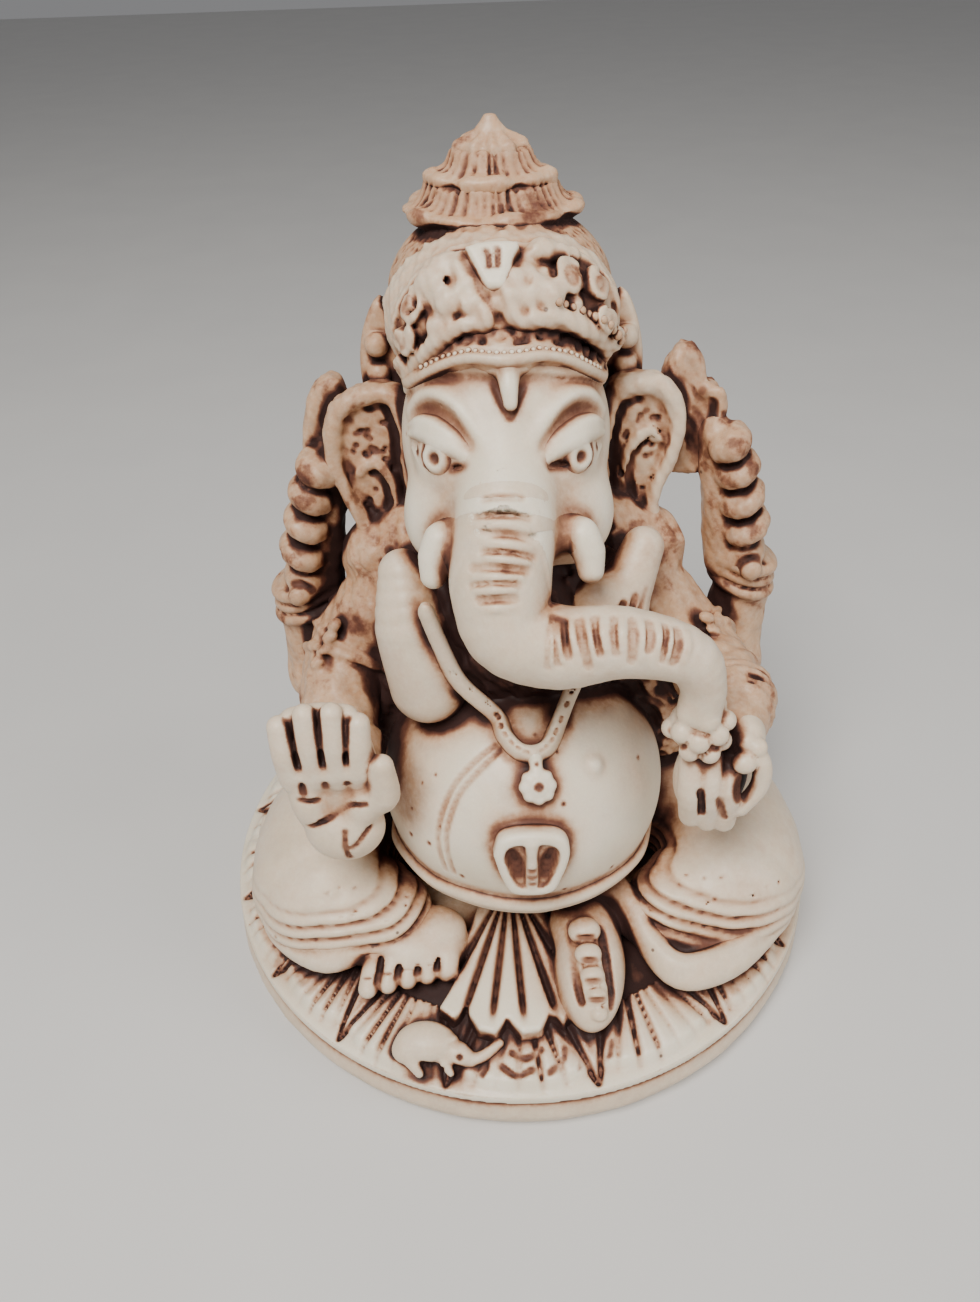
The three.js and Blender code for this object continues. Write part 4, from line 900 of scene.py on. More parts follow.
for side, name in SIDES:
    e = mid(f"{name}_ear")
    outer, inner, fold = ear_lines[name]
    lay = (84, side * 4, 0)
    piece = Clay(slab(outer, 2.8, e, lay, 1.0, 48), room=1.5)
    place = turning(lay)
    rim = [e + place @ [a * 0.85, b * 0.9, 1.0] for a, b in outer + outer[:1]]
    piece.add(rod(rim, [0.95], 48), blend=0.6)
    piece.cut(slab(inner, 2.2, e + place @ [0, 0, 2.0], lay, 0.5, 48), blend=0.6, wash=0.0)
    crack = [e + place @ [a * 0.93, b * 0.95, 0.95] for a, b in inner[2:9]]
    piece.cut(rod(crack, [0.3, 0.42, 0.5, 0.5, 0.4, 0.3], 30), blend=0.35, wash=0.45, spread=0.2)
    piece.add(rod([e + place @ [a, b, 0.75] for a, b in fold], [0.5, 0.8, 0.95, 0.8, 0.5], 20), blend=0.4)
    piece.cut(rod([e + place @ [a * 0.55 - side * 0.2, b * 0.8 - 0.6, 1.1] for a, b in fold[1:]],
                  [0.35, 0.5, 0.4], 14), blend=0.35,
              wash=0.6, spread=0.25)
    rng = np.random.default_rng(11 + side)
    for _ in range(30):
        a, b = rng.uniform(-2.0, 2.2), rng.uniform(2.0, 6.8) if rng.random() < 0.7 else rng.uniform(-6, 2)
        piece.cut(egg(e + place @ [a, b, 0.85], rng.uniform(0.24, 0.36)), blend=0.15, wash=0.6, spread=0.25)
    roughen(piece, 0.14, 2.2)
    clay[f"{name}_ear"] = piece

# %% [markdown]
# ## Crown
#
# From the brow upward come a carved headband, a diadem of scrolls round a wedge-shaped crest, a dome with
# strips of punched dots, and three fluted tiers stacked to a cone.


# %% Crown dome and tiers
DEEP = 0.74  # the crown is this much shallower from front to back than it is wide
STRIP_DEGREES = 17


def bulb_relief(x, y, z):
    around = np.degrees(np.arctan2(x - BULB[0], BULB[1] - y))
    out = np.hypot(x - BULB[0], y - BULB[1])
    strip = (around / STRIP_DEGREES + 0.5) % 1 - 0.5
    which = np.round(around / STRIP_DEGREES)
    dash = 0.5 + 0.5 * np.cos((z + 0.37 * which) * 2 * math.pi / 0.95)
    row = np.maximum(np.exp(-((strip - 0.16) / 0.07) ** 2), np.exp(-((strip + 0.16) / 0.07) ** 2)) * dash ** 2
    edge = np.exp(-((np.abs(strip) - 0.42) / 0.035) ** 2) * 0.6
    curl = np.exp(-(strip / 0.09) ** 2) * (0.5 + 0.5
                                           * np.cos((z + 0.9 * which) * 2 * math.pi / 1.9)) ** 2 * (which % 2)
    zone = step(BULB[2] - 6, BULB[2] - 3, z) * step(3.0, 5.0, out)
    mark = np.maximum(np.maximum(row, edge), curl) * zone
    return -0.34 * mark, 0.8 * mark


clay["crown_bulb"] = Clay(egg(BULB, BULB_R), room=1)
clay["crown_bulb"].press(bulb_relief)


def flattened(shape, c):
    """A turned shape squeezed from front to back, about the crown's axis c."""
    lowest, highest, distance = shape
    return lowest, highest, lambda x, y, z: distance(x, c[1] + (y - c[1]) / DEEP, z) * 0.85


def tier(node, neck, waves, shift):
    """A flared roof: a thin wavy rim below and a fluted slope that climbs inward to the next neck."""
    c, rim = mid(node), half(node)[0]
    foot, tall = low(node)[2], 2 * half(node)[2]
    body = flattened(turned([[0, 0.2], [rim - 2.8, 0.0], [rim - 1.2, 0.4], [rim - 0.2, 0.85],
                             [rim - 0.1, 1.1], [rim - 0.5, 1.3],
                             [rim - 1.2, 1.45], [rim - 1.9, 2.1], [neck + 0.4, tall + 0.5], [0, tall + 0.6]],
                            [c[0], c[1], foot], 0.2), c)

    def relief(x, y, z):
        around = np.arctan2(x - c[0], (c[1] - y) / DEEP)
        out = np.hypot(x - c[0], (y - c[1]) / DEEP)
        phase = waves * around / 2 + shift + 1.1 * np.sin(3 * around) + 0.7 * np.sin(7 * around + shift)
        flute = np.abs(np.sin(phase)) ** 0.8
        wall = step(rim - 0.75, rim - 1.4, out) * step(neck - 0.6, neck + 0.2, out) * step(foot + 1.0,
                                                                                           foot + 1.3, z)
        sway = 0.22 * np.sin(5 * around + 3 * shift) + 0.14 * np.sin(11 * around)
        deep = 0.5 + 0.5 * np.sin(9.3 * around + shift)
        return (-0.5 * (1 - flute) * wall * (0.5 + 0.5 * deep) + sway * step(rim - 2, rim - 0.4, out),
                np.maximum((1 - flute) ** 1.3 * (0.3 + 0.6 * deep), 0.16) * wall)

    return Clay(body, room=0.8).press(relief)


clay["crown_tier_1"] = tier("crown_tier_1", 6.0, 44, 0.0)
clay["crown_tier_2"] = tier("crown_tier_2", 3.4, 30, 0.7)
c3, r3 = mid("crown_tier_3"), half("crown_tier_3")[0]
foot3, top3 = low("crown_tier_3")[2], high("crown_tier_3")[2]
clay["crown_tier_3"] = Clay(
    flattened(turned([[0, 0.1], [r3 - 1.2, 0.0], [r3 - 0.3, 0.5], [r3 - 0.25, 0.85],
                      [r3 - 0.9, 1.15], [1.5, 1.7],
            [0.75, top3 - foot3 - 0.6], [0.4, top3 - foot3 - 0.05], [0, top3 - foot3]], [c3[0], c3[1], foot3],
            0.25), c3), room=0.8)
clay["crown_tier_3"].press(lambda x, y, z: (
    0.22 * np.sin(9 * np.arctan2(x - c3[0], c3[1] - y) + 1) * step(top3 - 0.8, foot3 + 1.4, z)
    + 0.14 * np.sin(4 * np.arctan2(x - c3[0], c3[1] - y)) * step(foot3 + 1.5, foot3 + 1.0, z), 0 * x * y * z))
for node in ("crown_tier_1", "crown_tier_2", "crown_tier_3"):
    foot = low(node)[2]
    clay[node].press(lambda x, y, z: (0 * x * y * z, 0.5 * step(0.35, 0.0, z - foot) + 0 * x * y))

# %% Headband and diadem
BAND_R = HEAD_R + [0.2, 2.3, 1.6]
BAND_FLOOR = 74.5
BAND_MM_PER_DEGREE, DIADEM_MM_PER_DEGREE = 0.21, 0.17


def band_low(side):
    """Where the headband's lower edge runs on the head, as an angle."""
    return np.interp(np.abs(side), [0, 28, 48, 66, 80, 100], [51.5, 51.5, 46, 35, 27, 26])


def on_band(side, up, lift=0.0):
    return on_egg(HEAD, BAND_R, side, band_low(side) + up, lift)


shell = egg(HEAD, BAND_R)


def band_gap(x, y, z):
    AXE, ay, az = (x - HEAD[0]) / BAND_R[0], (y - HEAD[1]) / BAND_R[1], (z - HEAD[2]) / BAND_R[2]
    side, rise = np.degrees(np.arctan2(AXE, -ay)), np.degrees(np.arctan2(az, np.hypot(AXE, ay)))
    return np.maximum(np.maximum(shell[2](x, y, z), (band_low(side) - rise) * BAND_MM_PER_DEGREE),
                      BAND_FLOOR - z)


piece = Clay((HEAD - BAND_R, HEAD + BAND_R, band_gap), room=0.8)
for k, side in enumerate((-80, -63, -40, -4, 34, 60, 79)):
    turn = 1 if k % 2 else -1
    level = band_low(side) + 10
    wide = math.cos(math.radians(level)) * 11.8
    middle = on_band(side, 10, 0.35)
    piece.cut(egg(middle, (1.25, 1.2, 1.05)), blend=0.3, wash=0.55, spread=0.35)
    curl = []
    for t in np.linspace(0, 1, 14):
        a = 0.9 + turn * t * 8.2
        r = 1.4 * (1 - 0.72 * t)
        curl.append(on_egg(HEAD, BAND_R, side + math.degrees(r * math.cos(a) / wide),
                           level + math.degrees(r * 0.8 * math.sin(a) / 13), 0.1))
    piece.add(rod(curl, [0.42, 0.46], 28), blend=0.15)
for side in (-72, -52, -24, 14, 48, 70):
    piece.cut(egg(on_band(side, 16, 0.2), 0.5), blend=0.25, wash=0.6, spread=0.35)
    piece.add(egg(on_band(side, 11, 0.0), 0.6), blend=0.2)
for up, thick in ((1.2, 0.5), (5.2, 0.34), (17, 0.4)):
    piece.add(rod([on_band(s, up, 0.1) for s in np.linspace(-88, 88, 17)], [thick], 48), blend=0.2)
clay["headband"] = piece

DIADEM_SIDES = [-75, -62, -45, -32, -23, -10, 10, 22, 34, 44, 54, 68, 80]
DIADEM_LOW = [-60, -44, -18, -1, 10, 14, 15, 14, 7, -2, -15, -39, -60]
DIADEM = np.array([-0.8, 2.9, BULB[2] - 0.9])
DIADEM_R = np.array([12.0, 12.0, 8.7])
front = egg(DIADEM, DIADEM_R)


def diadem_gap(x, y, z):
    sheet = np.maximum(front[2](x, y, z), -egg(DIADEM, DIADEM_R - 2.4)[2](x, y, z))
    wide = (np.abs(x - DIADEM[0]) / 11.4) ** 2.2 + (np.maximum(z - DIADEM[2] - 1.0, 0) / 7.2) ** 2.2
    edge = (wide - 1) * 4
    around = np.degrees(np.arctan2(x - DIADEM[0], DIADEM[1] - y))
    rise = np.degrees(np.arctan2((z - DIADEM[2]) / DIADEM_R[2],
                                 np.hypot(x - DIADEM[0], y - DIADEM[1]) / DIADEM_R[0]))
    lowest = np.interp(around, DIADEM_SIDES, DIADEM_LOW)
    return np.maximum(np.maximum(sheet, edge * 0.7),
                      np.maximum(y - DIADEM[1] + 2.2, (lowest - rise) * DIADEM_MM_PER_DEGREE))


clay["diadem"] = Clay((DIADEM - DIADEM_R, DIADEM + DIADEM_R, diadem_gap), room=1.2)


def spiral(at_side, at_rise, size, turns, start, spin, lift=0.15):
    points = []
    for t in np.linspace(0, 1, int(10 * turns) + 2):
        a = math.radians(start) + spin * t * turns * 2 * math.pi
        r = size * (1 - 0.85 * t)
        points.append(on_egg(DIADEM, DIADEM_R, at_side + math.degrees(r * math.cos(a) / DIADEM_R[0]),
                             at_rise + math.degrees(r * math.sin(a) / DIADEM_R[2]), lift))
    return points


def on_diadem(side, rise, lift=0.0):
    return on_egg(DIADEM, DIADEM_R, side, rise, lift)


piece = clay["diadem"]
top_edge = [(-60, -30), (-58, 6), (-53, 30), (-45, 47), (-28, 57), (0, 61), (15, 57), (36, 53), (55, 43),
            (63, 28), (66, 10), (68, -18)]
piece.add(rod(laid(on_diadem, top_edge, 0.0), [0.5, 0.6, 0.6, 0.5], 40), blend=0.3)
for edge in ([(-64, -42), (-45, -15), (-32, 2), (-23, 13), (-9, 17)],
             [(9, 18), (22, 17), (34, 10), (44, 1), (54, -12), (69, -37)]):
    piece.add(rod(laid(on_diadem, edge, 0.2), [0.9, 1.0, 0.7], 20), blend=0.25)
    piece.cut(line(laid(on_diadem, edge, 0.1, 7.5), 0.3), blend=0.3, wash=0.5, spread=0.3)
piece.add(rod(laid(on_diadem, [(-41, 31), (-37, 41), (-28, 44), (-19, 38), (-15, 26)], 0.3),
              [1.3, 1.55, 1.4, 1.0, 0.8], 20), blend=0.3)
piece.add(egg(on_diadem(-36, 34, 0.2), 1.9), egg(on_diadem(-27, 26, 0.0), 1.7), blend=0.5)
piece.cut(line(laid(on_diadem, [(-33, 31), (-29, 36), (-24, 33), (-25, 27)], 1.0), 0.34), blend=0.25,
          wash=0.35, spread=0.3)
piece.add(rod(laid(on_diadem, [(17, 50), (30, 52), (48, 45)], 0.3), [0.8, 1.3, 0.8], 16), blend=0.3)
for at_side, at_rise, size, turns, start, spin in (
        (-44, 20, 1.35, 1.3, 100, -1), (-46, 2, 1.2, 1.25, 60, -1), (-53, -17, 1.0, 1.2, 60, -1),
        (35, 34, 1.45, 1.3, 30, 1), (49, 26, 1.3, 1.25, 60, 1), (49, 8, 1.15, 1.2, 120, 1),
        (58, -6, 1.0, 1.2, 120, 1)):
    middle = on_egg(DIADEM, DIADEM_R, at_side, at_rise, 0.45)
    piece.add(egg(middle, size * 1.0), blend=0.3)
    piece.cut(egg(on_egg(DIADEM, DIADEM_R, at_side, at_rise, 1.1), size * 0.72), blend=0.25, wash=0.7,
              spread=0.3)
    piece.add(rod(spiral(at_side, at_rise, size, turns, start, spin, 1.0), [0.46, 0.5], 30), blend=0.12)
for s, r, size in ((-30, -6, 1.2), (22, 10, 1.5), (-22, 12, 1.3), (4, 12, 1.3), (-16, 8, 1.15), (-9, 2, 1.0),
                   (-3, 8, 0.9), (5, 3, 1.05), (11, 9, 1.2), (17, 14, 1.3), (23, 4, 1.0), (8, 20, 1.2),
                   (-24, 4, 0.8), (-30, 2, 0.6), (36, 2, 0.8), (44, 27, 0.7), (-9, 16, 0.9), (14, 24, 1.0),
                   (38, -4, 0.6)):
    piece.add(egg(on_diadem(s, r + 19, -0.1), size * 1.15), blend=0.35)
for s, r in ((-32, 38), (24, 40), (-38, 11), (47, 17), (-46, -8), (-8, 34), (2, 36), (-24, 32), (22, 27)):
    piece.add(egg(on_diadem(s, r, -0.75), 1.35), blend=0.4)
piece.press(lambda x, y, z: (0.2 * lumps(x, y, z, 2.0), 0.16 * step(0.05, -0.35, front[2](x, y, z)) + 0.0))

# %% Crest, wings and forehead drop
crest_outline = [(-2.5, 1.6), (-0.4, 2.0), (2.3, 1.8), (1.7, 0.3), (0.9, -1.6), (0.5, -2.1), (-0.6, -2.0),
                 (-1.6, -0.3)]
crest_at = on_diadem(-5, 45, 0.9)
crest_turn = (50, 0, 0)
clay["diadem_crest"] = Clay(slab(crest_outline, 1.7, crest_at, crest_turn, 0.3, 24), room=0.6)
place = turning(crest_turn)
for a, b in (((-0.55, 1.1), (-0.4, -0.4)), ((0.35, 1.2), (0.3, -0.3))):
    clay["diadem_crest"].cut(line([crest_at + place @ [*a, 0.85], crest_at + place @ [*b, 0.85]], 0.25),
                             blend=0.1, wash=0.9, spread=0.08)
for side, name in SIDES:
    w = mid(f"{name}_crown_wing") + [side * 0.7, -0.6, 0.3]
    plate = [(-2.0, -5.4), (1.8, -5.6), (2.4, -1.0), (1.6, 3.4), (0, 6.2), (-1.8, 3.0), (-2.4, -1.0)]
    clay[f"{name}_crown_wing"] = Clay(slab(plate, 2.6, w, (86, 0, side * 6), 0.7, 28),
                                      *[egg(w + [side * 0.4, -1.4, h], 1.3) for h in (-4, -1.2, 1.8)],
                                      blend=0.3, room=0.6)
drop = [on_head(1, 52, 0.5), on_head(1, 43, 0.75), on_head(1.5, 36, 0.6)]
clay["forehead_drop"] = Clay(rod(drop, [1.15, 0.85, 0.62], 8), egg(drop[0], (1.9, 1.0, 0.7)), blend=0.3,
                             room=0.5)

# %% [markdown]
# ## Necklace, pendant, belt and buckle
#
# A punched strap hangs from the shoulders and crosses the top of the belly. A round pendant hangs from
# it. Below is a shield-shaped buckle with two deep hollows. The belly is an egg, so a point on it needs
# only two angles: strap and belt are rods through such points, half sunk into it.


# %% Necklace and pendant
def on_belly(side, rise, lift=0.0):
    return on_egg(BELLY, BELLY_R, side, rise, lift)


strap_seen = [(-9.4, -15.6, 58.0), (-8.2, -15.6, 53.6), (-6.3, -15.9, 48.6), on_belly(-25, 66, 0.5),
              on_belly(-14, 59, 0.35),
              on_belly(-4, 53.5, 0.35), on_belly(5, 52, 0.35), on_belly(14, 54, 0.35), on_belly(24, 60, 0.4),
              (5.2, -15.6, 46.0), (6.3, -14.9, 48.6)]
strap = smooth_path(strap_seen, 44)
clay["necklace"] = Clay(rod(strap_seen, [0.85], 40),
                        rod([np.add(p, [0, -0.25, 0.75]) for p in strap_seen], [0.6], 40), blend=0.4,
                        room=0.5)
for i in range(2, 43, 2):
    out = unit(strap[i] - BELLY)
    way = unit(strap[i + 1] - strap[i - 1])
    spot = strap[i] + out * 0.8 + np.array([0, -0.2, 0.35])
    clay["necklace"].cut(line([spot - way * 0.2, spot + way * 0.2], 0.24), blend=0.15, wash=0.12, spread=0.1)
pendant_at = on_belly(5, 40, 0.7)
out = unit(pendant_at - BELLY)
a = np.array([1.0, 0.08, 0.0])
b = -unit(np.cross(a, out))
petal_ring = [egg(p, 0.78) for p in hoop(pendant_at, 1.25, a, b, 9)[:-1]]
clay["pendant"] = Clay(egg(pendant_at, 1.35), rod([pendant_at + 1.6 * b, pendant_at + 3.0 * b], [0.75, 0.55]),
                       *petal_ring,
                       blend=0.22, room=0.5)
clay["pendant"].cut(egg(pendant_at + out * 1.45, 0.5), egg(pendant_at + out * 0.95 + 2.4 * b, 0.3),
                    blend=0.15, wash=0.9)

# %% Belt cord and buckle
belt = [(-84, -19), (-68, -15), (-46, -17), (-25, -14), (-9, -15.5), (8, -16.5), (30, -15), (57, -18),
        (84, -20)]
belt = [(s, r - 6) for s, r in belt]
belt_seen = laid(on_belly, belt, 0.45)
clay["belt_cord"] = Clay(rod(belt_seen, [0.9], 60), rod([p + [0, 0.15, -1.0] for p in belt_seen], [0.6], 60),
                         blend=0.3, room=0.5)
buckle_at = on_belly(1, 9.5, 0.55)
buckle_turn = (80.5, 0, 0)
shield = [(-4.1, 1.4), (-3.2, 3.7), (0, 4.3), (3.2, 3.7), (4.1, 1.4), (3.2, -2.0), (1.9, -4.0), (-1.9, -4.0),
          (-3.2, -2.0)]
clay["belt_buckle"] = Clay(slab(shield, 2.2, buckle_at, buckle_turn, 0.6, 45), room=0.8)
place = turning(buckle_turn)


def on_buckle(a, b, lift=1.1):
    return buckle_at + place @ [a, b, lift]


piece = clay["belt_buckle"]
piece.cut(slab([(-2.9, 1.2), (-2.0, 2.7), (2.0, 2.7), (2.9, 1.2), (2.1, -1.6), (1.1, -2.9), (-1.1, -2.9),
                (-2.1, -1.6)],
               1.5, on_buckle(0, 0, 1.25), buckle_turn, 0.3, 36), blend=0.3, wash=0.35)
piece.cut(rod([on_buckle(-2.1, 1.5, 0.8), on_buckle(-1.7, 0.2, 0.75), on_buckle(-1.4, -1.6, 0.75)],
              [0.7, 0.85, 0.5]),
          rod([on_buckle(2.1, 1.5, 0.8), on_buckle(1.7, 0.2, 0.75), on_buckle(1.4, -1.6, 0.75)],
              [0.7, 0.85, 0.5]), blend=0.25, wash=0.9)
piece.add(rod([on_buckle(0, 3.0, 0.55), on_buckle(0, 1.3, 0.75), on_buckle(0, -2.6, 0.5)], [0.9, 0.62, 0.75]),
          blend=0.3)
for h in (-0.5, -1.4, -2.3):
    piece.cut(line([on_buckle(-0.6, h, 1.3), on_buckle(0.6, h, 1.3)], 0.26), blend=0.15, wash=0.6,
              spread=0.25)
print("clay modelled,", len(clay), "elements,", round(time.time() - started, 1), "s")
missing = sorted(set(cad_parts) - set(clay))
print("frame nodes without clay:", missing)

# %% [markdown]
# ## Pinholes
#
# Resin casts carry trapped air. A few dozen pinholes are pressed where the real one would have them, on
# the exposed round forms, with a fixed seed so every run gives the same casting.

# %% Pinholes
rng = np.random.default_rng(7)
for name, at, radii, holes in (("belly", BELLY, BELLY_R, 22), ("head", HEAD, HEAD_R, 12)):
    for _ in range(holes):
        side, rise = rng.uniform(-75, 75), rng.uniform(-20, 60)
        clay[name].cut(egg(on_egg(at, radii, side, rise, 0.02), rng.uniform(0.14, 0.26)), blend=0.06,
                       wash=0.9, spread=0.16)
for name, lowest, highest, holes in (("right_leg", 12, 22, 14), ("left_leg", 12, 22, 14)):
    side = -1 if name == "right_leg" else 1
    for _ in range(holes):
        start = np.array([side * rng.uniform(14, 32), -34, rng.uniform(lowest, highest) + 12])
        spot = touch(leg(side), start, [0, 1, -0.9])
        if np.linalg.norm(spot - start) < 40:
            clay[name].cut(egg(spot, rng.uniform(0.14, 0.24)), blend=0.06, wash=0.45, spread=0.12)

# %% [markdown]
# ## From clay to surfaces
#
# All elements melt into one field, with a small fillet where two meet, as on a casting. Each named
# element is then cut from that field by its own shape plus a little overlap, so the pieces join without a
# step or a gap. A surface net puts one vertex in every grid cell the surface passes through.

# %% One field from all elements
whole_first = np.min([c.first for c in clay.values()], 0)
whole_last = np.max([c.first + c.shape for c in clay.values()], 0)
whole_shape = tuple(whole_last - whole_first)
hard = np.full(whole_shape, FAR, np.float32)
melt = np.zeros(whole_shape, np.float32)


def place_of(c):
    a = c.first - whole_first
    return tuple(slice(a[k], a[k] + c.shape[k]) for k in range(3))


for c in clay.values():
    part = place_of(c)
    np.minimum(hard[part], c.gap, out=hard[part])
for c in clay.values():
    part = place_of(c)
    melt[part] += np.exp(np.minimum((hard[part] - c.gap) / WELD, 0), dtype=np.float32)
field = hard - WELD * np.log(np.maximum(melt, 1.0))
del melt
print("field", whole_shape, round(time.time() - started, 1), "s")


# %% Surface nets
def surface_net(values, first, size):
    inside = values < 0
    total = np.zeros(tuple(np.array(values.shape) - 1), np.int8)
    n0, n1, n2 = total.shape
    for i in (0, 1):
        for j in (0, 1):
            for k in (0, 1):
                total += inside[i:i + n0, j:j + n1, k:k + n2]
    cells = np.argwhere((total > 0) & (total < 8))
    number = np.full(total.shape, -1, np.int32)
    number[cells[:, 0], cells[:, 1], cells[:, 2]] = np.arange(len(cells))
    summed, crossings = np.zeros((len(cells), 3)), np.zeros(len(cells))
    for axis in range(3):
        others = [k for k in range(3) if k != axis]
        for a in (0, 1):
            for b in (0, 1):
                start = cells.copy()
                start[:, others[0]] += a
                start[:, others[1]] += b
                end = start.copy()
                end[:, axis] += 1
                f0, f1 = values[tuple(start.T)], values[tuple(end.T)]
                hit = (f0 < 0) != (f1 < 0)
                t = f0[hit] / (f0[hit] - f1[hit])
                point = start[hit].astype(float)
                point[:, axis] += t
                summed[hit] += point
                crossings[hit] += 1
    vertices = (summed / crossings[:, None] + first) * size
    quads = []
    for axis in range(3):
        u, v = (axis + 1) % 3, (axis + 2) % 3
        lower = [slice(0, -1) if k == axis else slice(1, -1) for k in range(3)]
        upper = [slice(1, None) if k == axis else slice(1, -1) for k in range(3)]
        s0, s1 = inside[tuple(lower)], inside[tuple(upper)]
        edges = np.argwhere(s0 != s1)
        outward = s0[tuple(edges.T)]
        edges[:, u] += 1
        edges[:, v] += 1
        corners = []
        for du, dv in ((-1, -1), (0, -1), (0, 0), (-1, 0)):
            at = edges.copy()
            at[:, u] += du
            at[:, v] += dv
            corners.append(number[tuple(at.T)])
        q = np.stack(corners, 1)
        q[~outward] = q[~outward][:, ::-1]
        quads.append(q)
    return vertices, np.vstack(quads)


def largest_part(vertices, quads):
    """Drops loose crumbs: keeps what is joined to the biggest group of faces."""
    label = np.arange(len(vertices))
    for _ in range(400):
        least = label[quads].min(1)
        before = label.copy()
        np.minimum.at(label, quads.ravel(), np.repeat(least, 4))
        label = label[label]
        if (label == before).all():
            break
    values, counts = np.unique(label[quads[:, 0]], return_counts=True)
    keep = label[quads[:, 0]] == values[counts.argmax()]
    quads = quads[keep]
    used = np.unique(quads)
    renumber = np.full(len(vertices), -1)
    renumber[used] = np.arange(len(used))
    return vertices[used], renumber[quads]


def sample(grid, first, points):
    """Trilinear value of a grid at points in millimetres."""
    p = points / VOXEL - first
    i = np.clip(np.floor(p).astype(int), 0, np.array(grid.shape) - 2)
    t = np.clip(p - i, 0, 1)
    value = 0
    for a in (0, 1):
        for b in (0, 1):
            for c in (0, 1):
                w = (t[:, 0] if a else 1 - t[:, 0]) * (t[:, 1] if b else 1 - t[:, 1]) * (t[:, 2] if c
                                                                                         else 1 - t[:, 2])
                value = value + w * grid[i[:, 0] + a, i[:, 1] + b, i[:, 2] + c]
    return value


def blurred_solid(stride, spread):
    """How full of resin the neighbourhood is, within about spread millimetres, on a coarser grid."""
    coarse = np.clip(0.5 - field[::stride, ::stride, ::stride] / (stride * VOXEL), 0, 1)
    pad = int(3 * spread / (stride * VOXEL)) + 1
    coarse = np.pad(coarse, pad)
    waves = np.fft.rfftn(coarse)
    sigma = spread / (stride * VOXEL)
    f0, f1, f2 = (np.fft.fftfreq(coarse.shape[0]), np.fft.fftfreq(coarse.shape[1]),
                  np.fft.rfftfreq(coarse.shape[2]))
    squared = f0[:, None, None] ** 2 + f1[None, :, None] ** 2 + f2[None, None, :] ** 2
    waves *= np.exp(-2 * (math.pi * sigma) ** 2 * squared)
    full = np.fft.irfftn(waves, s=coarse.shape, axes=(0, 1, 2))
    return full[pad:-pad, pad:-pad, pad:-pad].astype(np.float32)


STRIDE = 3
NEAR_BLUR, FAR_BLUR = 1.1, 3.4
FEELERS = ((0.5, 0.40), (1.3, 0.34), (2.7, 0.26))  # length of each in mm, and its share
near_full, far_full = blurred_solid(STRIDE, NEAR_BLUR), blurred_solid(STRIDE, FAR_BLUR)


def hollow_at(points, normals):
    """How closed in a spot is: 0 on open rounds, 1 deep in a groove."""
    closed = 0
    for reach, weight in FEELERS:
        room = sample(field, whole_first, points + normals * reach)
        closed = closed + weight * np.clip(1 - room / reach, 0, 1.2)
    dip = sample(near_full, whole_first / STRIDE, (points + normals * 0.4) / STRIDE)
    return np.clip(0.75 * closed + 1.7 * np.clip(dip - 0.38, 0, 1), 0, 1.2)


def depth_at(points, normals):
    """How far back among its neighbours a spot sits, over several millimetres: about 0.3 on open rounds."""
    # The shader darkens set-back spots by this number: painted shade.
    return sample(far_full, whole_first / STRIDE, (points + normals * 1.5) / STRIDE)


def vertex_normals(vertices, faces):
    a, b, c, d = (vertices[faces[:, k]] for k in range(4))
    n = np.cross(c - a, d - b)
    total = np.zeros_like(vertices)
    for k in range(4):
        for axis in range(3):
            total[:, axis] += np.bincount(faces[:, k], n[:, axis], len(vertices))
    return total / np.maximum(np.linalg.norm(total, axis=1), 1e-9)[:, None]

# %% [markdown]
# ## Resin, brown wash and painted shade
#
# One recipe serves all six materials. Bare resin is warm ivory. Brown wash, nearly purple where it is
# thick, stays in hollows and thins to tan on the way out. Three numbers stored on every vertex drive it:
# how closed in the spot is, how far back it sits, and how much wash was worked in. Noise breaks
# them up, and pinholes add dark specks.
# The darkening that follows how far back a spot sits, strongest under the arms and round the chest, is
# painted shade laid in with the wash; it also deepens the tan film.


# %% Wiped wash as one shader group
def srgb(r, g, b):
    return tuple(((c / 255 + 0.055) / 1.055) ** 2.4 if c > 10 else c / 255 / 12.92
                 for c in (r, g, b)) + (1.0,)


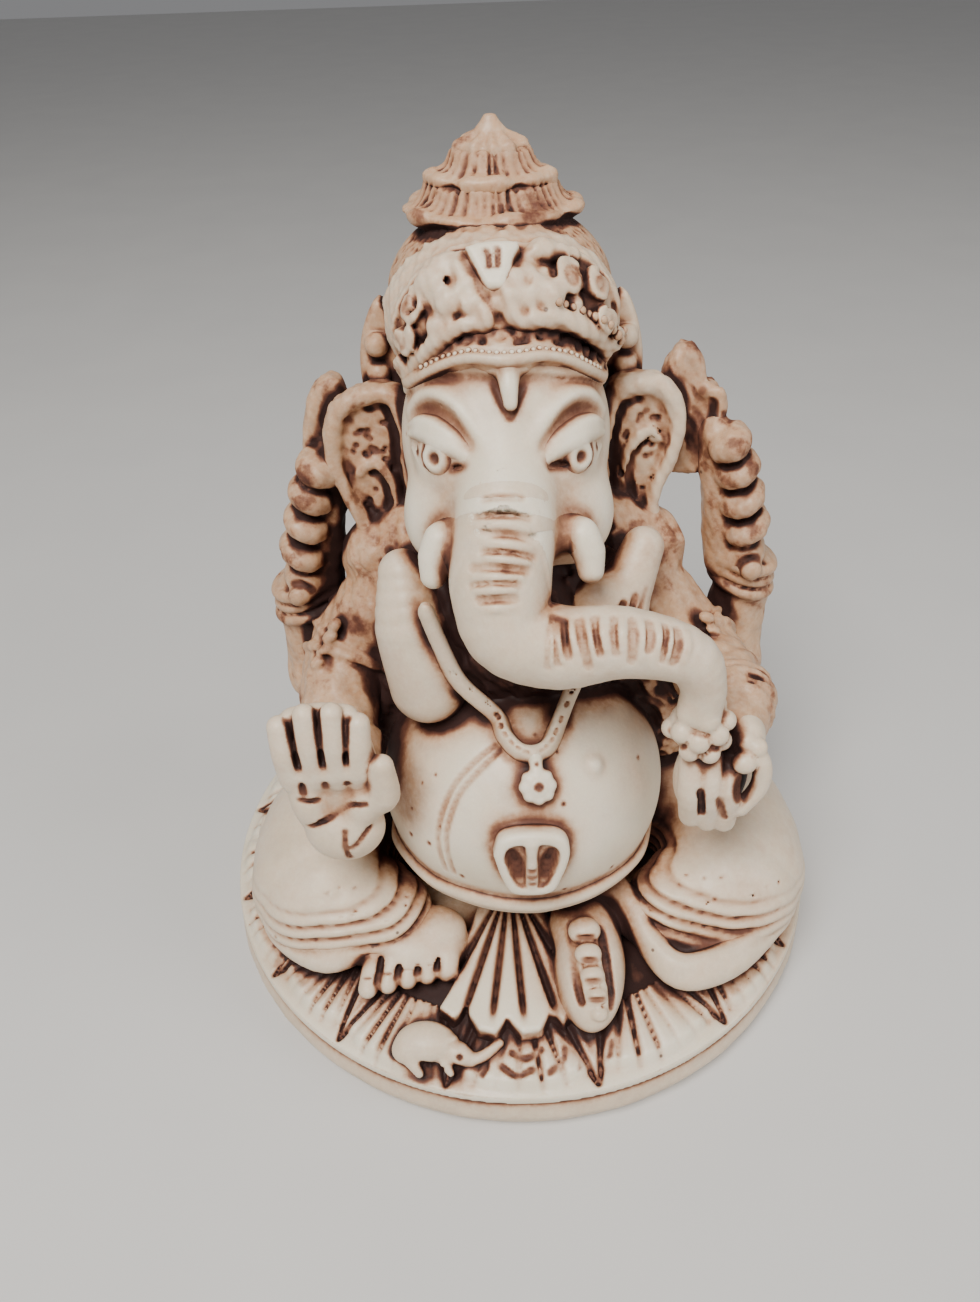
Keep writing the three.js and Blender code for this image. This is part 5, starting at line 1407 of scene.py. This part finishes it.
def make_wash_group():
    group = bpy.data.node_groups.new("wiped_wash", "ShaderNodeTree")
    face = group.interface
    for name, value in (("Hollow", 0.0), ("Wash", 0.0), ("Depth", 0.3), ("Tone", 0.0), ("Cover", 1.0),
                        ("Wash Film And Shade", 1.0), ("Dirt", 0.0)):
        face.new_socket(name, in_out="INPUT", socket_type="NodeSocketFloat").default_value = value
    face.new_socket("Color", in_out="OUTPUT", socket_type="NodeSocketColor")
    face.new_socket("Roughness", in_out="OUTPUT", socket_type="NodeSocketFloat")
    face.new_socket("Height", in_out="OUTPUT", socket_type="NodeSocketFloat")
    node, link = group.nodes.new, group.links.new
    given, result = node("NodeGroupInput"), node("NodeGroupOutput")
    place = node("ShaderNodeTexCoord").outputs["Object"]

    def noise(scale, detail=3.0, rough=0.55):
        n = node("ShaderNodeTexNoise")
        n.inputs["Scale"].default_value = scale
        n.inputs["Detail"].default_value = detail
        n.inputs["Roughness"].default_value = rough
        link(place, n.inputs["Vector"])
        return n.outputs["Fac"]

    def calc(kind, a, b, c=None, clamp=False):
        n = node("ShaderNodeMath")
        n.operation = kind
        n.use_clamp = clamp
        for socket, value in zip(n.inputs, (a, b, c)):
            if value is None:
                continue
            if isinstance(value, (int, float)):
                socket.default_value = value
            else:
                link(value, socket)
        return n.outputs[0]

    def waver(value, cause, amount):
        """value moved up and down by a noise."""
        return calc("MULTIPLY_ADD", calc("SUBTRACT", cause, 0.5), amount, value)

    def remap(value, a, b, c=0.0, d=1.0):
        n = node("ShaderNodeMapRange")
        n.inputs["From Min"].default_value, n.inputs["From Max"].default_value = a, b
        n.inputs["To Min"].default_value, n.inputs["To Max"].default_value = c, d
        link(value, n.inputs["Value"])
        return n.outputs[0]

    def ramp(value, stops):
        n = node("ShaderNodeValToRGB")
        while len(n.color_ramp.elements) < len(stops):
            n.color_ramp.elements.new(0.5)
        for element, (at, colour) in zip(n.color_ramp.elements, stops):
            element.position, element.color = at, colour
        link(value, n.inputs["Fac"])
        return n.outputs["Color"]

    def mix(fac, a, b, kind="MIX"):
        n = node("ShaderNodeMix")
        n.data_type, n.blend_type = "RGBA", kind
        for socket, value in ((n.inputs[0], fac), (n.inputs[6], a), (n.inputs[7], b)):
            if isinstance(value, (tuple, float, int)):
                socket.default_value = value
            else:
                link(value, socket)
        return n.outputs[2]

    clouds, blotches, grain, fine = noise(110, 4), noise(420, 4, 0.6), noise(1500, 3), noise(4200, 2)
    # Painted shade: spots set far back among their neighbours, as under the arms and round the chest, are
    # darkened along with the wash.
    back = remap(given.outputs["Depth"], 0.40, 0.66)
    hollow = calc("MULTIPLY_ADD", back, 0.42, given.outputs["Hollow"])
    hollow = waver(hollow, clouds, 0.26)
    hollow = waver(hollow, blotches, 0.34)
    hollow = waver(hollow, grain, 0.12)
    # thick: brown wash in the hollows, with the painted shade of set-back spots mixed in.
    thick = calc("MULTIPLY", remap(hollow, 0.13, 0.80), given.outputs["Cover"], clamp=True)
    ink = calc("MULTIPLY", given.outputs["Wash"], remap(blotches, 0.25, 0.6, 0.72, 1.0))
    both = calc("MAXIMUM", thick, calc("MULTIPLY", ink, given.outputs["Cover"]), clamp=True)
    both = calc("MULTIPLY_ADD", thick, 0.22, both, clamp=True)
    dirt = calc("MULTIPLY", remap(calc("MULTIPLY_ADD", clouds, 0.55, calc("MULTIPLY", blotches, 0.55)), 0.52,
                                  0.78), given.outputs["Dirt"])
    both = calc("MAXIMUM", both, dirt, clamp=True)
    # Tan film: the wash thinning out of the hollows, and painted shade where a spot sits far back.
    film = calc("MULTIPLY_ADD", given.outputs["Hollow"], 0.8, given.outputs["Depth"])
    film = waver(film, clouds, 0.3)
    film = calc("MULTIPLY", remap(film, 0.27, 0.52), given.outputs["Wash Film And Shade"], clamp=True)
    film = calc("MULTIPLY_ADD", calc("SUBTRACT", 1.0, film), given.outputs["Tone"], film, clamp=True)
    bare = ramp(clouds, [(0.3, srgb(226, 214, 190)), (0.6, srgb(241, 232, 212))])
    tan = ramp(blotches, [(0.3, srgb(166, 118, 82)), (0.65, srgb(202, 158, 118))])
    film_mask = calc("MULTIPLY", film, remap(grain, 0.2, 0.6, 0.72, 1.0))
    base = mix(film_mask, bare, tan)
    # One ramp colours brown wash, dirt and painted shade, from tan to nearly purple.
    stain_and_shade = ramp(both, [(0.0, srgb(196, 160, 128)), (0.30, srgb(160, 114, 84)), (0.60, srgb(104, 62, 46)),
                        (1.0, srgb(46, 21, 16))])
    colour = mix(remap(both, 0.02, 0.42), base, stain_and_shade)
    cells = node("ShaderNodeTexVoronoi")
    cells.inputs["Scale"].default_value = 330
    link(place, cells.inputs["Vector"])
    pick = node("ShaderNodeSeparateColor")
    link(cells.outputs["Color"], pick.inputs["Color"])
    rare = calc("GREATER_THAN", pick.outputs[0], 0.93)
    speck = calc("MULTIPLY", rare, remap(cells.outputs["Distance"], 0.05, 0.09, 1.0, 0.0))
    colour = mix(calc("MULTIPLY", speck, 0.8), colour, srgb(84, 56, 44))
    colour = mix(remap(fine, 0.35, 0.65, 0.0, 0.10), colour,
                 mix(1.0, colour, srgb(214, 200, 180), "MULTIPLY"))
    link(colour, result.inputs["Color"])
    rough = remap(both, 0.0, 0.6, 0.42, 0.78)
    link(waver(rough, grain, 0.16), result.inputs["Roughness"])
    rise = calc("MULTIPLY_ADD", grain, 0.5, calc("MULTIPLY", fine, 0.22))
    rise = calc("MULTIPLY_ADD", blotches, 0.6, rise)
    link(calc("MULTIPLY_ADD", speck, -1.2, rise), result.inputs["Height"])
    return group


wash_group = make_wash_group()


def resin(name, tone, cover, wash_film_and_shade, dirt, coat):
    material = bpy.data.materials.new(name)
    material.use_nodes = True
    tree = material.node_tree
    shader = tree.nodes["Principled BSDF"]
    recipe = tree.nodes.new("ShaderNodeGroup")
    recipe.node_tree = wash_group
    for attribute, socket in (("hollow", "Hollow"), ("wash", "Wash"), ("depth", "Depth")):
        stored = tree.nodes.new("ShaderNodeAttribute")
        stored.attribute_name = attribute
        tree.links.new(stored.outputs["Fac"], recipe.inputs[socket])
    recipe.inputs["Tone"].default_value = tone
    recipe.inputs["Cover"].default_value = cover
    recipe.inputs["Wash Film And Shade"].default_value = wash_film_and_shade
    recipe.inputs["Dirt"].default_value = dirt
    bump = tree.nodes.new("ShaderNodeBump")
    bump.inputs["Strength"].default_value = 0.28
    bump.inputs["Distance"].default_value = 0.00018
    tree.links.new(recipe.outputs["Height"], bump.inputs["Height"])
    tree.links.new(recipe.outputs["Color"], shader.inputs["Base Color"])
    tree.links.new(recipe.outputs["Roughness"], shader.inputs["Roughness"])
    tree.links.new(bump.outputs["Normal"], shader.inputs["Normal"])
    shader.inputs["Subsurface Weight"].default_value = 0.12
    shader.inputs["Subsurface Radius"].default_value = (0.0016, 0.0010, 0.0006)
    shader.inputs["Subsurface Scale"].default_value = 1.0
    shader.inputs["Coat Weight"].default_value = coat
    shader.inputs["Coat Roughness"].default_value = 0.35
    shader.inputs["Specular IOR Level"].default_value = 0.35
    return material


ivory = resin("ivory_resin", tone=0.05, cover=1.0, wash_film_and_shade=0.85, dirt=0.0, coat=0.08)
# A tanner copy of the ivory resin: partly the tan these parts have, partly painted shade where they turn from
# the light.
tan_shaded = resin("ivory_resin_tan_shaded", tone=0.34, cover=1.1, wash_film_and_shade=1.0, dirt=0.2, coat=0.06)
tan = resin("stained_resin", tone=0.85, cover=1.3, wash_film_and_shade=1.0, dirt=0.9, coat=0.03)
crown = resin("stained_resin_pale", tone=0.45, cover=1.05, wash_film_and_shade=1.0, dirt=0.35, coat=0.04)
face = resin("ivory_resin_face", tone=0.04, cover=0.62, wash_film_and_shade=0.7, dirt=0.0, coat=0.08)
band = resin("ivory_resin_band", tone=0.42, cover=0.9, wash_film_and_shade=0.7, dirt=0.05, coat=0.08)
STAINED = {
    "hips", "chest", "back_shawl", "right_ear", "left_ear", "headband", "crown_bulb", "crown_tier_1",
    "crown_tier_2",
    "crown_tier_3", "diadem", "right_crown_wing", "left_crown_wing", "rear_right_upper_arm",
    "rear_right_forearm",
    "rear_right_bracelet", "rear_right_fist", "axe_blade", "rear_left_upper_arm", "rear_left_forearm",
    "rear_left_bracelet", "rear_left_fist", "noose_loop", "front_right_arm", "front_left_arm",
    "left_pectoral",
}


# %% Cut each element from the field
def put_in_scene(name, data):
    thing = bpy.data.objects.new(name, data)
    bpy.context.scene.collection.objects.link(thing)
    return thing


def store(mesh, key, values):
    """One number on every vertex, for the shader to read."""
    mesh.attributes.new(key, "FLOAT", "POINT").data.foreach_set("value", values.astype(np.float32))


def finish_mesh(name, vertices, faces, wash, material, nodes):
    normals = vertex_normals(vertices, faces)
    mesh = bpy.data.meshes.new(name)
    mesh.vertices.add(len(vertices))
    mesh.vertices.foreach_set("co", (vertices * MM).astype(np.float32).ravel())
    mesh.loops.add(faces.size)
    mesh.loops.foreach_set("vertex_index", faces.astype(np.int32).ravel())
    mesh.polygons.add(len(faces))
    mesh.polygons.foreach_set("loop_start", np.arange(0, faces.size, 4, dtype=np.int32))
    mesh.update(calc_edges=True)
    mesh.shade_smooth()
    store(mesh, "hollow", hollow_at(vertices, normals))
    store(mesh, "wash", wash)
    store(mesh, "depth", depth_at(vertices, normals))
    mesh.materials.append(material)
    thing = put_in_scene(name, mesh)
    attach(thing, "root")
    if nodes:
        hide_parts(*nodes)
    return thing


FACE = {"head", "right_eyelid", "left_eyelid", "right_tusk", "left_tusk"}
PALE = {"diadem", "headband", "left_crown_wing", "left_ear", "left_pectoral"}
COARSE = ("plinth", "hips", "back_shawl")
# Parts in the tanner ivory copy: their own tan, and painted shade where they turn from the light.
TAN_SHADED = {"right_leg", "left_leg", "right_dhoti_hem", "left_dhoti_hem", "trunk", "right_foot", "left_foot",
        "front_right_palm",
        "front_right_fingers", "front_right_thumb", "front_left_hand", "sweet", "necklace", "belt_cord",
        "mouse", "right_pectoral"}


def resin_for(name):
    if name in FACE:
        return face
    if name in PALE:
        return crown
    if name in STAINED:
        return tan
    if name == "plinth":
        return band
    return tan_shaded if name in TAN_SHADED else ivory


faces_made = 0
for name, c in clay.items():
    part = place_of(c)
    smooth = field[part] + MELT_FADE * np.minimum((c.gap - hard[part]) ** 2, MELT_REACH ** 2)
    values = np.maximum(c.gap if name in ("plinth", "lotus_ring") else c.gap - SKIN, smooth)
    if name in COARSE:
        values = np.pad(values[::2, ::2, ::2], 1, constant_values=FAR)
        vertices, faces = surface_net(values, c.first / 2 - 1, VOXEL * 2)
    else:
        vertices, faces = surface_net(values, c.first, VOXEL)
    vertices, faces = largest_part(vertices, faces)
    wash = sample(c.wash, c.first, vertices)
    finish_mesh(name + "_cast", vertices, faces, wash, resin_for(name), [name])
    faces_made += len(faces)
print("pieces cut:", len(clay), "triangles:", 2 * faces_made, round(time.time() - started, 1), "s")

# %% [markdown]
# ## Rows of beads
#
# Bead rows edge the headband, the diadem and the foot of the tiers. Geometry Nodes lays them out: a path
# is resampled at the bead spacing, a bead is put on every point with a slight change of size, and the
# result becomes a plain mesh. The beads sit part sunk, because on the casting they grow out of the
# surface.


# %% A bead row tree
def make_bead_tree():
    tree = bpy.data.node_groups.new("bead_row", "GeometryNodeTree")
    tree.is_modifier = True
    face = tree.interface
    sockets = {}
    face.new_socket("Geometry", in_out="INPUT", socket_type="NodeSocketGeometry")
    for name, kind, value in (("Bead Radius", "NodeSocketFloat", 0.0005),
                              ("Spacing", "NodeSocketFloat", 0.001),
                              ("Flatness", "NodeSocketFloat", 1.0), ("Size Change", "NodeSocketFloat", 0.12),
                              ("Seed", "NodeSocketInt", 3)):
        sockets[name] = face.new_socket(name, in_out="INPUT", socket_type=kind)
        sockets[name].default_value = value
    sockets["Resin"] = face.new_socket("Resin", in_out="INPUT", socket_type="NodeSocketMaterial")
    face.new_socket("Geometry", in_out="OUTPUT", socket_type="NodeSocketGeometry")
    node, link = tree.nodes.new, tree.links.new
    given, result = node("NodeGroupInput"), node("NodeGroupOutput")
    curve, spread = node("GeometryNodeMeshToCurve"), node("GeometryNodeResampleCurve")
    spread.mode = "LENGTH"
    bead, put = node("GeometryNodeMeshUVSphere"), node("GeometryNodeInstanceOnPoints")
    bead.inputs["Segments"].default_value, bead.inputs["Rings"].default_value = 10, 6
    chance, less, more = node("FunctionNodeRandomValue"), node("ShaderNodeMath"), node("ShaderNodeMath")
    less.operation, more.operation = "SUBTRACT", "ADD"
    less.inputs[0].default_value = more.inputs[0].default_value = 1.0
    squash, times = node("ShaderNodeCombineXYZ"), node("ShaderNodeVectorMath")
    times.operation = "SCALE"
    flat, paint = node("GeometryNodeSetShadeSmooth"), node("GeometryNodeSetMaterial")
    real = node("GeometryNodeRealizeInstances")
    link(given.outputs["Geometry"], curve.inputs["Mesh"])
    link(curve.outputs["Curve"], spread.inputs["Curve"])
    link(given.outputs["Spacing"], spread.inputs["Length"])
    link(given.outputs["Bead Radius"], bead.inputs["Radius"])
    link(spread.outputs["Curve"], put.inputs["Points"])
    link(bead.outputs["Mesh"], put.inputs["Instance"])
    link(given.outputs["Size Change"], less.inputs[1])
    link(given.outputs["Size Change"], more.inputs[1])
    link(less.outputs[0], chance.inputs[2])
    link(more.outputs[0], chance.inputs[3])
    link(given.outputs["Seed"], chance.inputs["Seed"])
    squash.inputs["X"].default_value = squash.inputs["Y"].default_value = 1.0
    link(given.outputs["Flatness"], squash.inputs["Z"])
    link(squash.outputs[0], times.inputs[0])
    link(chance.outputs[1], times.inputs["Scale"])
    link(times.outputs[0], put.inputs["Scale"])
    link(put.outputs["Instances"], flat.inputs[0])
    link(flat.outputs[0], real.inputs[0])
    link(real.outputs[0], paint.inputs["Geometry"])
    link(given.outputs["Resin"], paint.inputs["Material"])
    link(paint.outputs[0], result.inputs[0])
    return tree, {name: socket.identifier for name, socket in sockets.items()}


bead_tree, bead_inputs = make_bead_tree()


def bead_row(name, points, radius, spacing, flatness, material, seed):
    """One row of beads along points, in millimetres."""
    line_mesh = bpy.data.meshes.new(name + "_path")
    line_mesh.from_pydata([tuple(p * MM) for p in points], [(i, i + 1) for i in range(len(points) - 1)], [])
    path = put_in_scene(name + "_path", line_mesh)
    rows = path.modifiers.new("beads", "NODES")
    rows.node_group = bead_tree
    for key, value in (("Bead Radius", radius * MM), ("Spacing", spacing * MM), ("Flatness", flatness),
                       ("Seed", seed),
                       ("Resin", material)):
        rows[bead_inputs[key]] = value
    depsgraph = bpy.context.evaluated_depsgraph_get()
    mesh = bpy.data.meshes.new_from_object(path.evaluated_get(depsgraph), depsgraph=depsgraph)
    mesh.name = name
    path.modifiers.remove(rows)
    bpy.data.objects.remove(path)
    points = np.zeros(len(mesh.vertices) * 3, np.float32)
    mesh.vertices.foreach_get("co", points)
    points = points.reshape(-1, 3) / MM
    normals = np.zeros(len(mesh.vertices) * 3, np.float32)
    mesh.vertex_normals.foreach_get("vector", normals)
    normals = normals.reshape(-1, 3)
    store(mesh, "hollow", hollow_at(points, normals) * 0.9)
    store(mesh, "depth", depth_at(points, normals))
    store(mesh, "wash", np.zeros(len(points)))
    thing = put_in_scene(name, mesh)
    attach(thing, "root")
    return thing


def settle(points, way, sink):
    """Moves points along way until they meet the casting, then sink millimetres further."""
    points = np.array(points, float)
    way = np.array(way, float)
    way = way / np.linalg.norm(way, axis=-1, keepdims=True)
    for _ in range(50):
        room = sample(field, whole_first, points)
        points = points + way * (room * 0.8)[:, None]
    return points + way * sink


# %% Headband, crown and neckline rows
rows = []
sides = np.linspace(-62, 72, 58)
start = np.array([on_band(s, 3.4, 2.0) for s in sides])
rows.append(bead_row("headband_beads", settle(start, HEAD - start, 0.02), 0.3, 0.66, 1.0, ivory,
                     5))
for name, corners, radius in (
        ("crown_beads_left", [(24, 24), (36, 17), (47, 7), (57, -6)], 0.46),
        ("crown_beads_edge", [(60, -2), (66, -16), (72, -30)], 0.4)):
    curve = smooth_path(laid(on_diadem, corners, 1.8), 60)
    rows.append(bead_row(name, settle(curve, DIADEM - curve, 0.12), radius, radius * 2.2, 1.0, tan,
                         8))
tier_foot = low("crown_tier_1")[2]
t1 = mid("crown_tier_1")
ring_points = [[t1[0] + 7.3 * math.sin(t), t1[1] - 7.3 * DEEP * math.cos(t), tier_foot - 0.05]
               for t in np.linspace(0, 2 * math.pi, 97)]
rows.append(bead_row("neckline_beads", np.array(ring_points), 0.42, 0.95, 0.8, tan, 9))
print("bead rows:", len(rows), "faces:", sum(len(r.data.polygons) for r in rows))

# %% [markdown]
# ## Table, light and camera
#
# The idol stands on a plain pale table under two large soft lamps, seen from in front and well above.

# %% Table top
floor_mesh = bpy.data.meshes.new("table_top")
half_size = 1.2
floor_mesh.from_pydata([(-half_size, -half_size, 0), (half_size, -half_size, 0), (half_size, half_size, 0),
                        (-half_size, half_size, 0)],
                       [], [(0, 1, 2, 3)])
table_top = put_in_scene("table_top", floor_mesh)
paper = bpy.data.materials.new("pale_paper")
paper.use_nodes = True
paper_shader = paper.node_tree.nodes["Principled BSDF"]
mottle = paper.node_tree.nodes.new("ShaderNodeTexNoise")
mottle.inputs["Scale"].default_value = 40
shade = paper.node_tree.nodes.new("ShaderNodeValToRGB")
shade.color_ramp.elements[0].color = srgb(205, 204, 202)
shade.color_ramp.elements[1].color = srgb(212, 211, 208)
paper_place = paper.node_tree.nodes.new("ShaderNodeTexCoord")
paper.node_tree.links.new(paper_place.outputs["Object"], mottle.inputs["Vector"])
paper.node_tree.links.new(mottle.outputs["Fac"], shade.inputs["Fac"])
paper.node_tree.links.new(shade.outputs["Color"], paper_shader.inputs["Base Color"])
paper_shader.inputs["Roughness"].default_value = 0.85
floor_mesh.materials.append(paper)


# %% Lamps
def lamp(name, at, target, size, watts, colour):
    data = bpy.data.lights.new(name, "AREA")
    data.shape, data.size, data.energy, data.color = "DISK", size, watts, colour
    way = unit(np.array(at) - np.array(target))
    across = unit(np.cross([0, 0, 1.0], way))
    up = np.cross(way, across)
    pose = np.eye(4)
    pose[:3, 0], pose[:3, 1], pose[:3, 2], pose[:3, 3] = across, up, way, at
    put_in_scene(name, data).matrix_world = Matrix(pose.tolist())


MIDDLE = (0, 0, 0.05)
lamp("key_lamp", at=(-0.10, -0.22, 0.42), target=MIDDLE, size=0.22, watts=2.7, colour=(1.0, 0.97, 0.93))
lamp("fill_lamp", at=(0.34, -0.16, 0.26), target=MIDDLE, size=0.30, watts=0.7, colour=(1.0, 0.98, 0.96))
world = bpy.data.worlds.new("studio_air")
bpy.context.scene.world = world
world.use_nodes = True
world.node_tree.nodes["Background"].inputs["Color"].default_value = (0.80, 0.80, 0.82, 1)
world.node_tree.nodes["Background"].inputs["Strength"].default_value = 0.28

# %% Camera
CAMERA_AT = np.array([-0.0031, -0.0973, 0.1168])
PITCH_DOWN, ROLL = math.radians(38.1), math.radians(-2.0)
FOCAL_LENGTH = 27.65
ahead = np.array([0, math.cos(PITCH_DOWN), -math.sin(PITCH_DOWN)])
flat_right, flat_up = np.array([1.0, 0, 0]), np.array([0, math.sin(PITCH_DOWN), math.cos(PITCH_DOWN)])
right = math.cos(ROLL) * flat_right + math.sin(ROLL) * flat_up
up = -math.sin(ROLL) * flat_right + math.cos(ROLL) * flat_up
pose = np.eye(4)
pose[:3, 0], pose[:3, 1], pose[:3, 2], pose[:3, 3] = right, up, -ahead, CAMERA_AT
lens = bpy.data.cameras.new("camera")
lens.sensor_width, lens.sensor_fit, lens.lens = 36.0, "AUTO", FOCAL_LENGTH
lens.clip_start, lens.clip_end = 0.005, 10
camera = put_in_scene("camera", lens)
camera.matrix_world = Matrix(pose.tolist())
bpy.context.scene.camera = camera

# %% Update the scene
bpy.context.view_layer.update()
print("seconds:", round(time.time() - started, 1))
